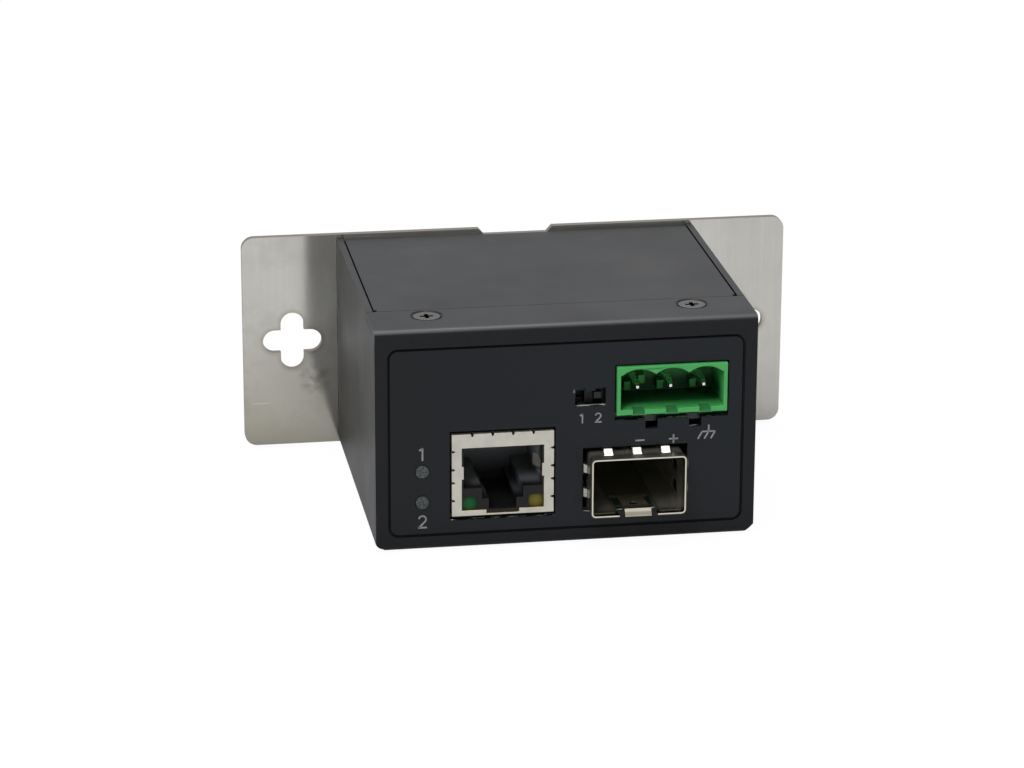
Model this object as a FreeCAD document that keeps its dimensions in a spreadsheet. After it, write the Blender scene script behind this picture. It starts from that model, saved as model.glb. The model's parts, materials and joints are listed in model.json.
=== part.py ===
import FreeCAD, Part
import math
import os
import Sketcher
from FreeCAD import Placement, Rotation, Vector

# Fibre media converter: a folded steel box with a network jack, a pluggable optics cage,
# a three-way power header and a two-way setting switch, on a stainless mounting plate.
# Millimetres. +X is right, +Y is back, +Z is up, and the origin is the middle of the
# underside of the box.

# The driving sizes: one row each, a name, a plain number and what it is
SIZES = (
    # The folded box
    ("box_width", 58.0, "outer width of the steel box"),
    ("box_height", 34.8, "outer height of the steel box"),
    ("box_depth", 49.5, "front panel to the back of the cover"),
    ("steel", 1.0, "thickness of the box's sheet steel"),
    ("bend_inside", 0.3, "inside radius of the bends at the sides and back"),
    ("fold_land", 0.1, "sheet left between a panel fold's outer curve and its inner face"),
    ("corner_cut", 1.4, "bevel at the front panel's two lower corners"),
    ("seam", 0.12, "gap where two folded edges meet"),
    ("lip_depth", 9.9, "how far the front flange reaches back over the top"),
    ("wall_setback", 0.35, "how far the side walls stop short of the back"),
    ("cover_gap", 0.25, "gap between the cover and the side walls"),
    ("tongue_depth", 6.4, "how far the cover's tongue reaches under the lip"),
    ("tongue_inset", 0.4, "how much narrower the tongue is at each end"),
    ("relief_width", 0.7, "width of the bend relief beside the lip"),
    ("relief_depth", 0.8, "length of that bend relief"),
    ("flange_height", 21.5, "height of the tray's back flange"),
    ("flange_half", 19.0, "half the width of the tray's back flange"),
    # Screws and clinch nuts
    ("lip_screw_x", 20.25, "centre line to a lip screw"),
    ("lip_screw_y", 7.1, "front panel to the lip screws"),
    ("sink_radius", 2.55, "radius of a countersink at the surface"),
    ("hole_radius", 1.55, "radius of a screw's clearance hole"),
    ("head_radius", 2.05, "radius of a countersunk screw head"),
    ("head_height", 1.0, "height of that head's cone"),
    ("head_drop", 0.1, "how far a head lies below the surface"),
    ("shank_radius", 1.2, "radius of a screw's shank"),
    ("screw_length", 3.3, "length of a countersunk screw"),
    ("drive_width", 0.62, "width of a cross recess's arms"),
    ("drive_length", 2.0, "length of a cross recess's arms"),
    ("drive_depth", 0.6, "depth of the cross recess"),
    ("nut_flats", 4.6, "width across a weld nut's flats"),
    ("nut_height", 1.2, "height of a weld nut"),
    ("thread_gap", 0.05, "gap between a shank and its thread"),
    # Mounting plate
    ("plate_width", 88.5, "width of the mounting plate"),
    ("plate_height", 35.0, "height of the mounting plate"),
    ("plate_steel", 1.2, "thickness of the mounting plate"),
    ("plate_lift", 0.4, "plate's lower edge above the box's underside"),
    ("plate_corner", 2.0, "corner radius of the mounting plate"),
    ("slot_spacing", 72.6, "between the centres of the cross holes"),
    ("slot_width", 3.75, "width of a cross hole's arms"),
    ("slot_length", 9.5, "length of a cross hole's arms"),
    ("notch_width", 12.0, "width of the notch in the plate's top edge"),
    ("notch_depth", 1.0, "depth of that notch"),
    ("notch_slope", 0.9, "run of the notch's slanted ends"),
    ("plate_screw_x", 12.0, "centre line to a plate screw"),
    # Front label in its shallow recess
    ("label_side", 2.05, "side of the panel to the front label"),
    ("label_below", 2.35, "underside of the panel to the front label"),
    ("label_above", 3.05, "top of the panel to the front label"),
    ("label_corner", 1.4, "corner radius of the front label"),
    ("label_film", 0.25, "thickness of the label film"),
    ("recess_depth", 0.3, "depth of the label's recess in the panel"),
    ("recess_gap", 0.22, "groove left round the label"),
    # Circuit boards and what holds them
    ("standoff", 2.4, "tray floor to the main board"),
    ("board", 1.6, "thickness of both boards"),
    ("board_side", 1.0, "between a side wall and the boards"),
    ("board_gap", 0.3, "between the front panel and the boards"),
    ("board_back_gap", 0.2, "between the boards and the nuts behind them"),
    ("below_share", 0.406, "share of the free height that lies between the cage and the power board"),
    ("step_gap", 3.5, "between the jack and the step in the power board"),
    ("jack_side_gap", 1.0, "between the jack and the power board beside it"),
    ("post_inset", 3.0, "side of the boards to the spacers"),
    ("post_back", 3.1, "back of the boards to the back spacers"),
    ("post_header", 0.6, "between the header and the front screw's head"),
    ("spacer_flats", 4.5, "width across a hexagonal spacer's flats"),
    ("post_bore", 5.0, "depth of the threaded bore in a spacer's top"),
    ("post_screw", 4.5, "length of a board screw's shank"),
    ("stud_less", 0.15, "how much thinner a spacer's stud is than a screw's shank"),
    ("stud_reach", 1.9, "how far a spacer's stud reaches below the main board"),
    ("board_hole_gap", 0.2, "gap round a screw or stud in a board"),
    ("pan_radius", 2.3, "radius of a board screw's head"),
    ("pan_height", 1.4, "height of a board screw's head"),
    # Network jack
    ("jack_x", -9.75, "centre of the network jack"),
    ("jack_width", 15.5, "width of the jack's shield"),
    ("jack_height", 13.0, "height of the jack's shield"),
    ("jack_depth", 21.3, "depth of the jack's shield"),
    ("jack_lift", 0.2, "main board to the jack's shield"),
    ("jack_proud", 0.3, "how far the jack stands out of the panel"),
    ("shield_sheet", 0.25, "thickness of the shield's sheet"),
    ("jack_margin", 0.27, "gap between the jack and the panel at the sides"),
    ("jack_margin_low", 0.75, "gap between the jack and the panel below"),
    ("jack_margin_top", 0.4, "gap between the jack and the panel above"),
    ("port_width", 12.5, "width of the opening in the shield"),
    ("port_low", 0.85, "shield's underside to its opening"),
    ("port_top", 2.2, "shield's opening to its top"),
    ("port_slot", 5.0, "width of the slot in the opening's lower edge"),
    ("tab_reach", 0.28, "how far the opening's side tabs stand in"),
    ("tab_height", 2.0, "height of those tabs"),
    ("tab_low", 5.0, "opening's lower edge to the tabs"),
    ("nick", 0.45, "width and depth of the nicks round the shield's face"),
    ("nick_run", 0.8, "how far back the nicks run"),
    ("shield_spring_root", 2.2, "jack's front to the root of a side spring"),
    ("shield_spring_tip", 6.0, "jack's front to the tip of a side spring"),
    ("shield_spring_inset", 0.45, "how far those tips stand inside the plug's cavity"),
    ("shield_spring_drop", 0.3, "how much lower those springs lie than the side tabs"),
    ("housing_slip", 0.05, "gap between the shield and the housing"),
    ("housing_short", 0.4, "shield's back to the housing's back"),
    ("plug_width", 11.9, "width of the plug's cavity"),
    ("plug_floor", 3.45, "opening's lower edge to the cavity's floor"),
    ("plug_height", 6.45, "height of the plug's cavity"),
    ("plug_depth", 13.5, "depth of the plug's cavity"),
    ("latch_width", 6.25, "width of the plug latch's upper step"),
    ("latch_narrow", 4.2, "width of the plug latch's lower step"),
    ("latch_step", 1.7, "height of the latch's lower step"),
    ("lamp_width", 2.3, "width of a jack lamp's window"),
    ("lamp_height", 2.1, "height of a jack lamp's window"),
    ("lamp_depth", 7.0, "length of a jack lamp's light guide"),
    ("lamp_side", 0.05, "shield's opening to a light guide's side"),
    ("lamp_recess", 0.1, "how far a light guide stands behind the shield"),
    ("spring_room_front", 1.2, "front of the housing to the openings for the side springs"),
    ("spring_room_back", 7.0, "front of the housing to the back of those openings"),
    ("spring_room_drop", 0.6, "how far those openings reach below the side tabs"),
    ("wire", 0.35, "thickness of a jack contact"),
    ("wire_pitch", 1.02, "between the jack's contacts"),
    ("wire_front", 2.4, "front of the housing to the contacts"),
    ("wire_run", 6.4, "length of a contact's slope"),
    ("wire_drop", 2.25, "depth of a contact's slope"),
    ("wire_foot", 1.2, "length of a contact's level end"),
    ("wire_bend", 1.0, "length of a contact's first bend"),
    ("wire_count", 8, "contacts in the jack"),
    # Optics cage
    ("cage_x", 10.5, "centre of the optics cage"),
    ("cage_width", 14.4, "width of the optics cage"),
    ("cage_height", 9.2, "height of the optics cage"),
    ("cage_back_gap", 0.88, "back of the cage to the back of the main board"),
    ("cage_proud", 3.5, "how far the cage stands out of the panel"),
    ("cage_sheet", 0.2, "thickness of the cage's sheet"),
    ("cage_corner", 0.65, "outer corner radius of the cage"),
    ("cage_margin_side", 0.82, "gap between the cage and the panel at the sides"),
    ("cage_margin_top", 0.75, "gap between the cage and the panel above"),
    ("cage_margin_low", 0.35, "gap between the cage and the panel below"),
    ("latch_tongue", 4.05, "width of the cage's latch tongue"),
    ("latch_gap", 0.92, "gap on each side of that tongue"),
    ("latch_length", 8.6, "length of that tongue"),
    ("latch_bend", 0.75, "cage's front to the bend of the tongue's tip"),
    ("latch_rise", 0.7, "how far the tongue has risen by that bend"),
    ("latch_drop", 0.12, "how far the tip then reaches below the cage's floor"),
    ("latch_hole", 2.6, "width of the triangular hole in the tongue"),
    ("latch_hole_front", 3.0, "cage's front to that hole"),
    ("latch_hole_length", 1.8, "length of that hole"),
    ("rail_width", 3.4, "width of the pads embossed in the cage's floor"),
    ("rail_length", 6.4, "length of those pads"),
    ("rail_height", 0.08, "height of those pads"),
    ("rail_front", 1.1, "cage's front to those pads"),
    ("rail_side", 0.46, "slot beside the tongue to those pads"),
    ("side_slot_front", 6.2, "cage's front to the windows in its sides"),
    ("side_slot_length", 3.1, "length of those windows"),
    ("side_slot_low", 0.9, "cage's underside to the lower windows"),
    ("side_slot_height", 1.8, "height of those windows"),
    ("side_slot_pitch", 3.5, "between the windows of one side"),
    ("socket_gap", 0.4, "gap round the socket in the cage's floor"),
    ("finger_width", 1.3, "width of a spring finger"),
    ("finger_sheet", 0.12, "thickness of the spring collar"),
    ("finger_rise", 0.75, "how far a spring finger stands out"),
    ("finger_length", 4.6, "length of a spring finger"),
    ("collar_depth", 1.7, "depth of the spring collar's band"),
    ("side_finger_raise", 0.6, "how far the side fingers' middle lies above the cage's"),
    ("top_finger_pitch", 4.4, "between the spring fingers on top"),
    ("side_finger_pitch", 3.84, "between the spring fingers at a side"),
    ("socket_width", 11.4, "width of the optics socket"),
    ("socket_height", 6.4, "height of the optics socket"),
    ("socket_depth", 9.0, "depth of the optics socket"),
    ("socket_back", 2.2, "back of the cage to the socket"),
    ("socket_pitch", 0.8, "between the optics socket's contacts"),
    ("socket_lift", 0.6, "how far the socket's slot lies above its middle"),
    ("socket_slot_width", 8.8, "width of the socket's slot"),
    ("socket_slot_height", 1.8, "height of the socket's slot"),
    ("socket_slot_depth", 5.0, "depth of the socket's slot"),
    ("contact_count", 10, "contacts in each row of the socket"),
    ("contact_width", 0.3, "width of a socket contact"),
    ("contact_thin", 0.2, "thickness of a socket contact"),
    ("contact_recess", 0.6, "socket's front to its contacts"),
    ("contact_spread", 1.3, "gap between the two rows of contacts"),
    # Power header
    ("header_x", 15.98, "centre of the power header"),
    ("header_width", 16.9, "width of the power header"),
    ("header_height", 7.66, "height of the power header"),
    ("header_depth", 12.0, "depth of the power header"),
    ("header_proud", 0.5, "how far the header stands out of the panel"),
    ("header_wall", 0.58, "thickness of the header's ends"),
    ("header_floor", 0.85, "thickness of the header's lower wall"),
    ("header_cavity", 9.0, "depth of the header's cavity"),
    ("header_margin", 0.25, "gap between the header and the panel"),
    ("header_margin_low", 0.9, "gap between the header and the panel below"),
    ("pin_pitch", 5.08, "between the power pins"),
    ("pin", 1.0, "thickness of a power pin"),
    ("pin_tip", 0.4, "thickness of a power pin's tip"),
    ("pin_taper", 1.3, "length of a power pin's tapered end"),
    ("pin_back", 0.4, "header's back to the pins' bends"),
    ("pin_through", 1.2, "how far a power pin reaches through the power board"),
    ("pin_height", 3.95, "header's underside to its pins"),
    ("pin_recess", 1.5, "front of the header to the pins' tips"),
    ("arch_top", 7.25, "header's underside to the crown of an arch"),
    ("arch_foot", 6.35, "header's underside to the foot of an arch"),
    ("key_width", 1.75, "width of the ramps in the header's lower wall"),
    ("key_land", 0.1, "thickness of the header's lower wall in front of a ramp"),
    ("key_length", 1.9, "length of those ramps"),
    ("rib_width", 1.0, "width of the ribs on the header's end wall"),
    ("rib_height", 1.4, "height of those ribs"),
    ("rib_depth", 2.0, "depth of those ribs"),
    ("rib_side", 0.57, "how far a pin's rib stands to its left"),
    ("rib_drop", 1.62, "how far a pin's rib lies below it"),
    ("code_side", 1.67, "how far the coding rib stands right of the first pin"),
    ("code_drop", 0.66, "how far the coding rib lies below that pin"),
    ("panel_notch_left", 3.03, "header's centre to the panel's left notch"),
    ("panel_notch_right", 3.67, "header's centre to the panel's right notch"),
    ("panel_notch_width", 1.9, "width of those notches"),
    ("panel_notch_depth", 1.5, "depth of those notches"),
    # Setting switch
    ("switch_gap", 0.98, "between the switch and the header"),
    ("switch_body", 6.0, "width of the switch's body"),
    ("switch_height", 5.8, "height of the switch's body"),
    ("switch_front", 0.9, "panel's inner face to the switch's body"),
    ("switch_depth", 3.6, "depth of the switch's body"),
    ("switch_base", 2.4, "depth of the switch's base"),
    ("way_pitch", 2.54, "between the two sliders"),
    ("knob_width", 1.1, "width of a slider's knob"),
    ("knob_height", 1.0, "height of a slider's knob"),
    ("knob_reach", 0.7, "how far a knob stands out of the switch's body"),
    ("throw", 1.6, "travel of a slider"),
    ("slide_gap", 0.1, "running gap round a slider"),
    ("shoe_width", 1.7, "width of a slider's shoe"),
    ("shoe_height", 1.6, "height of a slider's shoe"),
    ("shoe_depth", 0.9, "depth of a slider's shoe"),
    ("switch_wall", 0.9, "thickness of the switch's face"),
    ("switch_middle", 2.15, "power board to the middle of the switch's windows"),
    ("window_width", 4.7, "width of the switch's hole in the panel"),
    ("window_height", 2.85, "height of that hole"),
    ("window_raise", 0.9, "how much higher that hole lies than the switch's windows"),
    ("window_tab", 1.5, "width of the tab left in that hole"),
    ("window_tab_drop", 0.45, "height of that tab"),
    # Lamps at the left
    ("pipe_x", -21.95, "centre of the two light pipes"),
    ("pipe_low", 7.6, "height of the lower light pipe"),
    ("pipe_high", 12.5, "height of the upper light pipe"),
    ("pipe_radius", 1.0, "radius of a light pipe"),
    ("pipe_gap", 0.08, "gap round a light pipe in the panel"),
    ("pipe_low_reach", 5.2, "front panel to the lower pipe's leg"),
    ("pipe_high_reach", 9.2, "front panel to the upper pipe's leg"),
    ("lamp_chip", 0.8, "height of a lamp on the main board"),
    ("lamp_clearance", 0.25, "between a lamp and its light pipe"),
    ("pipe_proud", 0.1, "how far a light pipe stands out of the panel"),
    ("pipe_join", 0.5, "how far a light pipe's head runs into its leg"),
    ("lamp_base_width", 1.6, "width of a lamp's base"),
    ("lamp_base_depth", 1.2, "depth of a lamp's base"),
    ("lamp_dome_width", 1.1, "width of a lamp's lens"),
    ("lamp_dome_depth", 0.9, "depth of a lamp's lens"),
    # Parts on the boards
    ("capacitor_radius", 4.0, "radius of a smoothing capacitor"),
    ("capacitor_gap", 2.9, "between a smoothing capacitor and the cover"),
    ("capacitor_base", 1.0, "height of a smoothing capacitor's base"),
    ("capacitor_apart", 1.2, "between the two smoothing capacitors"),
    ("capacitor_behind", 1.2, "between the header and the smoothing capacitors"),
    ("capacitor_left", 8.28, "header's middle to the left capacitor's middle"),
    ("inductor_width", 10.0, "side of the power inductor"),
    ("inductor_height", 5.0, "height of the power inductor"),
    ("inductor_left", 1.0, "header's middle to the inductor's middle"),
    ("inductor_behind", 10.0, "capacitors' front to the inductor's middle, less their width"),
    ("inductor_rim", 1.2, "width of the inductor's rim"),
    ("inductor_well", 0.6, "depth of the well in the inductor's top"),
    ("regulator_left", 13.0, "header's middle to the regulator chip's middle"),
    ("regulator_width", 6.4, "width of the regulator chip"),
    ("regulator_depth", 6.0, "depth of the regulator chip's body"),
    ("regulator_height", 2.3, "height of the regulator chip"),
    ("regulator_stand", 0.1, "gap under the regulator chip's body"),
    ("regulator_tab_width", 5.2, "width of the regulator chip's tab"),
    ("regulator_tab", 1.2, "how far that tab reaches out"),
    ("regulator_leg_width", 0.7, "width of a regulator leg"),
    ("regulator_leg", 2.2, "how far a regulator leg reaches out"),
    ("regulator_leg_pitch", 4.56, "between the regulator chip's two legs"),
    ("tab_thickness", 0.5, "thickness of the regulator chip's tab and legs"),
    ("fuse_from_post", 8.0, "left spacers' line to the middle of the fuse and the diodes"),
    ("fuse_behind", 5.5, "step in the power board to the fuse's middle"),
    ("fuse_length", 7.2, "length of the input fuse"),
    ("fuse_width", 3.0, "width of the input fuse"),
    ("fuse_height", 2.8, "height of the input fuse"),
    ("fuse_cap", 1.0, "length of the fuse's metal ends"),
    ("fuse_less", 0.2, "how far the fuse's body lies inside its ends"),
    ("diode_behind", 10.5, "step in the power board to the first surge diode's middle"),
    ("diode_pitch", 4.6, "between the two surge diodes"),
    ("diode_length", 4.2, "length of a surge diode's body"),
    ("diode_width", 3.4, "width of a surge diode's body"),
    ("diode_height", 2.2, "height of a surge diode"),
    ("diode_stand", 0.2, "gap under a surge diode's body"),
    ("diode_leads", 5.6, "length over a surge diode's leads"),
    ("diode_lead_width", 1.4, "width of a surge diode's leads"),
    ("diode_lead_height", 0.6, "height of a surge diode's leads"),
    ("chip_width", 7.0, "side of the controller chip's body"),
    ("chip_height", 1.4, "height of the controller chip's body"),
    ("lead_length", 1.0, "reach of the controller chip's leads"),
    ("lead_count", 8, "leads on each of two sides of the controller chip"),
    ("lead_width", 0.24, "width of the controller chip's leads"),
    ("lead_thin", 0.25, "thickness of a chip's leads"),
    ("lead_root", 0.1, "how far a chip's leads run into its body"),
    ("chip_stand", 0.1, "gap under a chip's body"),
    ("chip_margin", 1.2, "side of the chip less its row of leads"),
    ("chip_shift", 0.5, "jack's middle to the controller chip's middle"),
    ("chip_from_back", 5.6, "back of the board to the controller chip's middle"),
    ("transformer_width", 12.7, "width of the network transformer"),
    ("transformer_depth", 7.1, "depth of the network transformer"),
    ("transformer_height", 5.6, "height of the network transformer"),
    ("transformer_behind", 4.9, "back of the jack to the transformer's middle"),
    ("transformer_stand", 0.3, "gap under the transformer's body"),
    ("transformer_legs", 6, "legs on each side of the transformer"),
    ("transformer_leg", 0.9, "how far the transformer's legs reach out"),
    ("transformer_leg_width", 0.5, "width of the transformer's legs"),
    ("transformer_leg_thin", 0.4, "thickness of the transformer's legs"),
    ("leg_pitch", 1.27, "between the legs of the transformer and of the memory chip"),
    ("crystal_length", 11.0, "length of the crystal's can"),
    ("crystal_width", 4.6, "width of the crystal's can"),
    ("crystal_height", 3.6, "height of the crystal's can"),
    ("crystal_shift", 0.4, "light pipes' centre to the crystal's middle"),
    ("crystal_before", 4.6, "crystal's middle to the back of the jack"),
    ("memory_right", 11.0, "cage's middle to the memory chip's middle"),
    ("memory_from_back", 12.8, "back of the box to the memory chip's middle"),
    ("memory_width", 4.0, "width of the memory chip's body"),
    ("memory_depth", 5.0, "depth of the memory chip's body"),
    ("memory_height", 1.6, "height of the memory chip"),
    ("memory_leads", 6.0, "width over the memory chip's leads"),
    ("memory_lead_width", 0.4, "width of the memory chip's leads"),
    ("memory_rows", 4, "leads on each side of the memory chip"),
    ("link_pitch", 2.54, "between the pins that join the boards"),
    ("link_count", 4, "pins that join the boards"),
    ("link_gap", 2.3, "between the pin strip and the socket above it"),
    ("link_depth", 5.5, "depth of the pins in that socket"),
    ("link_shift", 0.6, "how far those pins stand inside the spacers' line"),
    ("link_strip_height", 2.5, "height of the pin strip between the boards"),
    ("link_pin", 0.64, "thickness of a pin that joins the boards"),
    ("link_slip", 0.05, "gap round a pin in the socket"),
    ("link_end", 0.3, "gap above a pin in the socket"),
    ("link_from_post", 4.6, "front post to the first of those pins"),
    ("leg", 0.5, "width of the switch's legs"),
    ("leg_thin", 0.3, "thickness of the switch's legs"),
    ("leg_apart", 3.2, "between the front and the back legs of the switch"),
    ("leg_through", 0.8, "how far the switch's legs reach through the power board"),
)

doc = FreeCAD.newDocument("MediaConverter")
sheet = doc.addObject("Spreadsheet::Sheet", "Sizes")
for row, (alias, number, meaning) in enumerate(SIZES, start=1):
    sheet.set(f"A{row}", meaning)
    sheet.set(f"B{row}", str(number))
    sheet.setAlias(f"B{row}", alias)
doc.recompute()


class Size:
    """A length with the spreadsheet expression that gives it."""

    def __init__(self, value, text):
        self.value = float(value)
        self.text = text

    def joined(self, sign, other, value):
        return Size(value, f"({self.text} {sign} {as_size(other).text})")

    def __add__(self, other):
        return self.joined("+", other, self.value + as_size(other).value)

    def __sub__(self, other):
        return self.joined("-", other, self.value - as_size(other).value)

    def __mul__(self, other):
        return self.joined("*", other, self.value * as_size(other).value)

    def __truediv__(self, other):
        return self.joined("/", other, self.value / as_size(other).value)

    def __neg__(self):
        return Size(-self.value, f"(0 - {self.text})")

    def __rmul__(self, other):
        return as_size(other) * self

    def __radd__(self, other):
        return as_size(other) + self

    def __rsub__(self, other):
        return as_size(other) - self


def as_size(length):
    """A Size as it is, or a plain number as a Size."""
    return length if isinstance(length, Size) else Size(length, f"{float(length):.6f}")


class Sheet:
    """Each driving size by its name in the spreadsheet."""

    def __getattr__(self, alias):
        return Size(sheet.get(alias), f"Sizes.{alias}")


s = Sheet()
NODES = []


def node(label, solid):
    """Make a finished object one of the model's named pieces."""
    solid.Label = label
    NODES.append(solid)
    return solid


def bind(feature, name, length):
    """Bind one property of a feature to its expression."""
    feature.setExpression(name, as_size(length).text)


def about(centre, half):
    """The low and high end of a span with this middle and half width."""
    return (centre - half, centre + half)


def box(x, y, z, name="Block"):
    """A block between the low and high ends given for each axis."""
    solid = doc.addObject("Part::Box", name)
    for edge, axis, (low, high) in (("Length", "x", x), ("Width", "y", y), ("Height", "z", z)):
        bind(solid, edge, as_size(high) - low)
        bind(solid, f"Placement.Base.{axis}", low)
    return solid


TURNS = {
    "X": Rotation(Vector(0, 1, 0), 90),
    "Y": Rotation(Vector(1, 0, 0), -90),
    "Z": Rotation(),
}


def place(solid, start, axis):
    """Stand a round primitive at its start point, along an axis."""
    solid.Placement = Placement(Vector(), TURNS[axis])
    for letter, length in zip("xyz", start):
        bind(solid, f"Placement.Base.{letter}", length)
    return solid


def rod(start, axis, radius, length, name="Rod"):
    """A cylinder from its start point along an axis."""
    solid = doc.addObject("Part::Cylinder", name)
    bind(solid, "Radius", radius)
    bind(solid, "Height", length)
    return place(solid, start, axis)


def cone(start, axis, first, last, length, name="Taper"):
    """A cone from its start point along an axis."""
    solid = doc.addObject("Part::Cone", name)
    bind(solid, "Radius1", first)
    bind(solid, "Radius2", last)
    bind(solid, "Height", length)
    return place(solid, start, axis)


def join(solids, name="Joined"):
    """One solid from several that meet or overlap."""
    if len(solids) == 1:
        return solids[0]
    made = doc.addObject("Part::MultiFuse", name)
    made.Shapes = solids
    made.Refine = True
    return made


def cut(base, tools, name="Cut"):
    """A solid less some others."""
    made = doc.addObject("Part::Cut", name)
    made.Base = base
    made.Tool = join(tools)
    made.Refine = True
    return made


def group(solids, name="Set"):
    """Separate like solids as one piece of the model."""
    made = doc.addObject("Part::Compound", name)
    made.Links = solids
    return made


# Each sketch plane with the way its normal points along the row's axis
PLANES = {"XY": 1, "XZ": -1, "YZ": 1}


def new_body(name):
    return doc.addObject("PartDesign::Body", name)


def arc_between(first, last, radius):
    """The arc from one point to the next, counter-clockwise for a positive radius."""
    (x0, y0), (x1, y1) = first, last
    chord = math.hypot(x1 - x0, y1 - y0)
    rise = math.sqrt(max(radius * radius - chord * chord / 4, 0.0))
    side = math.copysign(rise, radius)
    cx = (x0 + x1) / 2 - (y1 - y0) / chord * side
    cy = (y0 + y1) / 2 + (x1 - x0) / chord * side
    start = math.atan2(y0 - cy, x0 - cx)
    end = math.atan2(y1 - cy, x1 - cx)
    if radius < 0:
        start, end = end, start
    circle = Part.Circle(Vector(cx, cy, 0), Vector(0, 0, 1), abs(radius))
    return Part.ArcOfCircle(circle, start, end)


def hold(sketch, kind, *where):
    """Add a constraint whose last value is a Size, and bind it."""
    *ends, length = where
    length = as_size(length)
    index = sketch.addConstraint(Sketcher.Constraint(kind, *ends, length.value))
    if "Sizes." in length.text:
        sketch.setExpression(f"Constraints[{index}]", length.text)


def draw_outline(sketch, corners):
    """A closed outline: each corner is (across, up), with a radius if an arc leaves it."""
    first = sketch.GeometryCount
    count = len(corners)
    ends = []
    for i, corner in enumerate(corners):
        here = (as_size(corner[0]).value, as_size(corner[1]).value)
        onward = corners[(i + 1) % count]
        there = (as_size(onward[0]).value, as_size(onward[1]).value)
        if len(corner) == 3:
            radius = as_size(corner[2]).value
            sketch.addGeometry(arc_between(here, there, radius), False)
            ends.append((1, 2) if radius > 0 else (2, 1))
        else:
            sketch.addGeometry(Part.LineSegment(Vector(*here, 0), Vector(*there, 0)), False)
            ends.append((1, 2))
    for i in range(count):
        after = (i + 1) % count
        joint = (first + i, ends[i][1], first + after, ends[after][0])
        sketch.addConstraint(Sketcher.Constraint("Coincident", *joint))
    for i, corner in enumerate(corners):
        hold(sketch, "DistanceX", -1, 1, first + i, ends[i][0], corner[0])
        hold(sketch, "DistanceY", -1, 1, first + i, ends[i][0], corner[1])
        if len(corner) == 3:
            radius = as_size(corner[2])
            hold(sketch, "Radius", first + i, radius if radius.value > 0 else -radius)


def draw_circle(sketch, across, up, radius):
    """A circle with a bound centre and radius."""
    across, up, radius = as_size(across), as_size(up), as_size(radius)
    centre = Vector(across.value, up.value, 0)
    i = sketch.addGeometry(Part.Circle(centre, Vector(0, 0, 1), radius.value), False)
    hold(sketch, "DistanceX", -1, 1, i, 3, across)
    hold(sketch, "DistanceY", -1, 1, i, 3, up)
    hold(sketch, "Radius", i, radius)


def new_sketch(body, plane, offset):
    """A sketch on one of the body's own planes, moved along the row's axis."""
    sketch = body.newObject("Sketcher::SketchObject", f"{body.Name}Sketch")
    planes = [item for item in body.Origin.OriginFeatures if item.Role == f"{plane}_Plane"]
    sketch.AttachmentSupport = (planes[0], [""])
    sketch.MapMode = "FlatFace"
    bind(sketch, "AttachmentOffset.Base.z", as_size(offset) * PLANES[plane])
    return sketch


def extrude(body, kind, plane, span, outlines, circles=()):
    """Pad or pocket outlines on a plane, from the low to the high end of a span."""
    low, high = as_size(span[0]), as_size(span[1])
    sketch = new_sketch(body, plane, low)
    for corners in outlines:
        draw_outline(sketch, corners)
    for circle in circles:
        draw_circle(sketch, *circle)
    before = body.Shape.Volume if kind == "Pocket" else 0.0
    feature = body.newObject(f"PartDesign::{kind}", f"{body.Name}{kind}")
    feature.Profile = sketch
    bind(feature, "Length", high - low)
    feature.Reversed = (PLANES[plane] > 0) == (kind == "Pocket")
    sketch.Visibility = False
    doc.recompute()
    if kind == "Pocket" and not body.Shape.Volume < before:
        raise RuntimeError(f"{feature.Name} removes nothing")
    return feature


def pad(body, plane, span, outlines, circles=()):
    return extrude(body, "Pad", plane, span, outlines, circles)


def pocket(body, plane, span, outlines, circles=()):
    return extrude(body, "Pocket", plane, span, outlines, circles)


def edges_where(shape, direction, test):
    """Names of the straight edges that run in a direction and pass a test of their middle."""
    names = []
    for i, edge in enumerate(shape.Edges, start=1):
        if edge.Curve.TypeId != "Part::GeomLine":
            continue
        run = edge.Vertexes[-1].Point - edge.Vertexes[0].Point
        if run.Length < 1e-6 or run.normalize().cross(direction).Length > 1e-6:
            continue
        if test(edge.CenterOfMass):
            names.append(f"Edge{i}")
    return names


def round_edges(body, radius, direction, test):
    """Fillet the body's edges that run in a direction and pass a test."""
    base = body.Tip
    names = edges_where(body.Shape, direction, test)
    if not names:
        raise RuntimeError(f"{body.Name} has no edge to round there")
    feature = body.newObject("PartDesign::Fillet", f"{body.Name}Fillet")
    feature.Base = (base, names)
    bind(feature, "Radius", radius)
    doc.recompute()
    return feature


def near(value, length):
    """Whether a coordinate lies at a length."""
    return abs(value - as_size(length).value) < 1e-4


def rectangle(across, up):
    """The corners of a rectangle, counter-clockwise."""
    return [(across[0], up[0]), (across[1], up[0]), (across[1], up[1]), (across[0], up[1])]


def rounded(across, up, radius):
    """The corners of a rectangle with rounded corners."""
    (left, right), (low, high) = across, up
    return [
        (left + radius, low),
        (right - radius, low, radius),
        (right, low + radius),
        (right, high - radius, radius),
        (right - radius, high),
        (left + radius, high, radius),
        (left, high - radius),
        (left, low + radius, radius),
    ]


def stadium(centre, along, half_length, half_width):
    """A round-ended slot; along says whether it runs across or up."""
    across, up = centre
    straight = half_length - half_width
    if along == "across":
        return [
            (across - straight, up - half_width),
            (across + straight, up - half_width, half_width),
            (across + half_length, up, half_width),
            (across + straight, up + half_width),
            (across - straight, up + half_width, half_width),
            (across - half_length, up, half_width),
        ]
    return [
        (across + half_width, up - straight),
        (across + half_width, up + straight, half_width),
        (across, up + half_length, half_width),
        (across - half_width, up + straight),
        (across - half_width, up - straight, half_width),
        (across, up - half_length, half_width),
    ]


ALONG_X = Vector(1, 0, 0)
ALONG_Y = Vector(0, 1, 0)
ALONG_Z = Vector(0, 0, 1)

# How far a cutting tool runs past the face that it cuts
OVERRUN = 1.0

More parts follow.
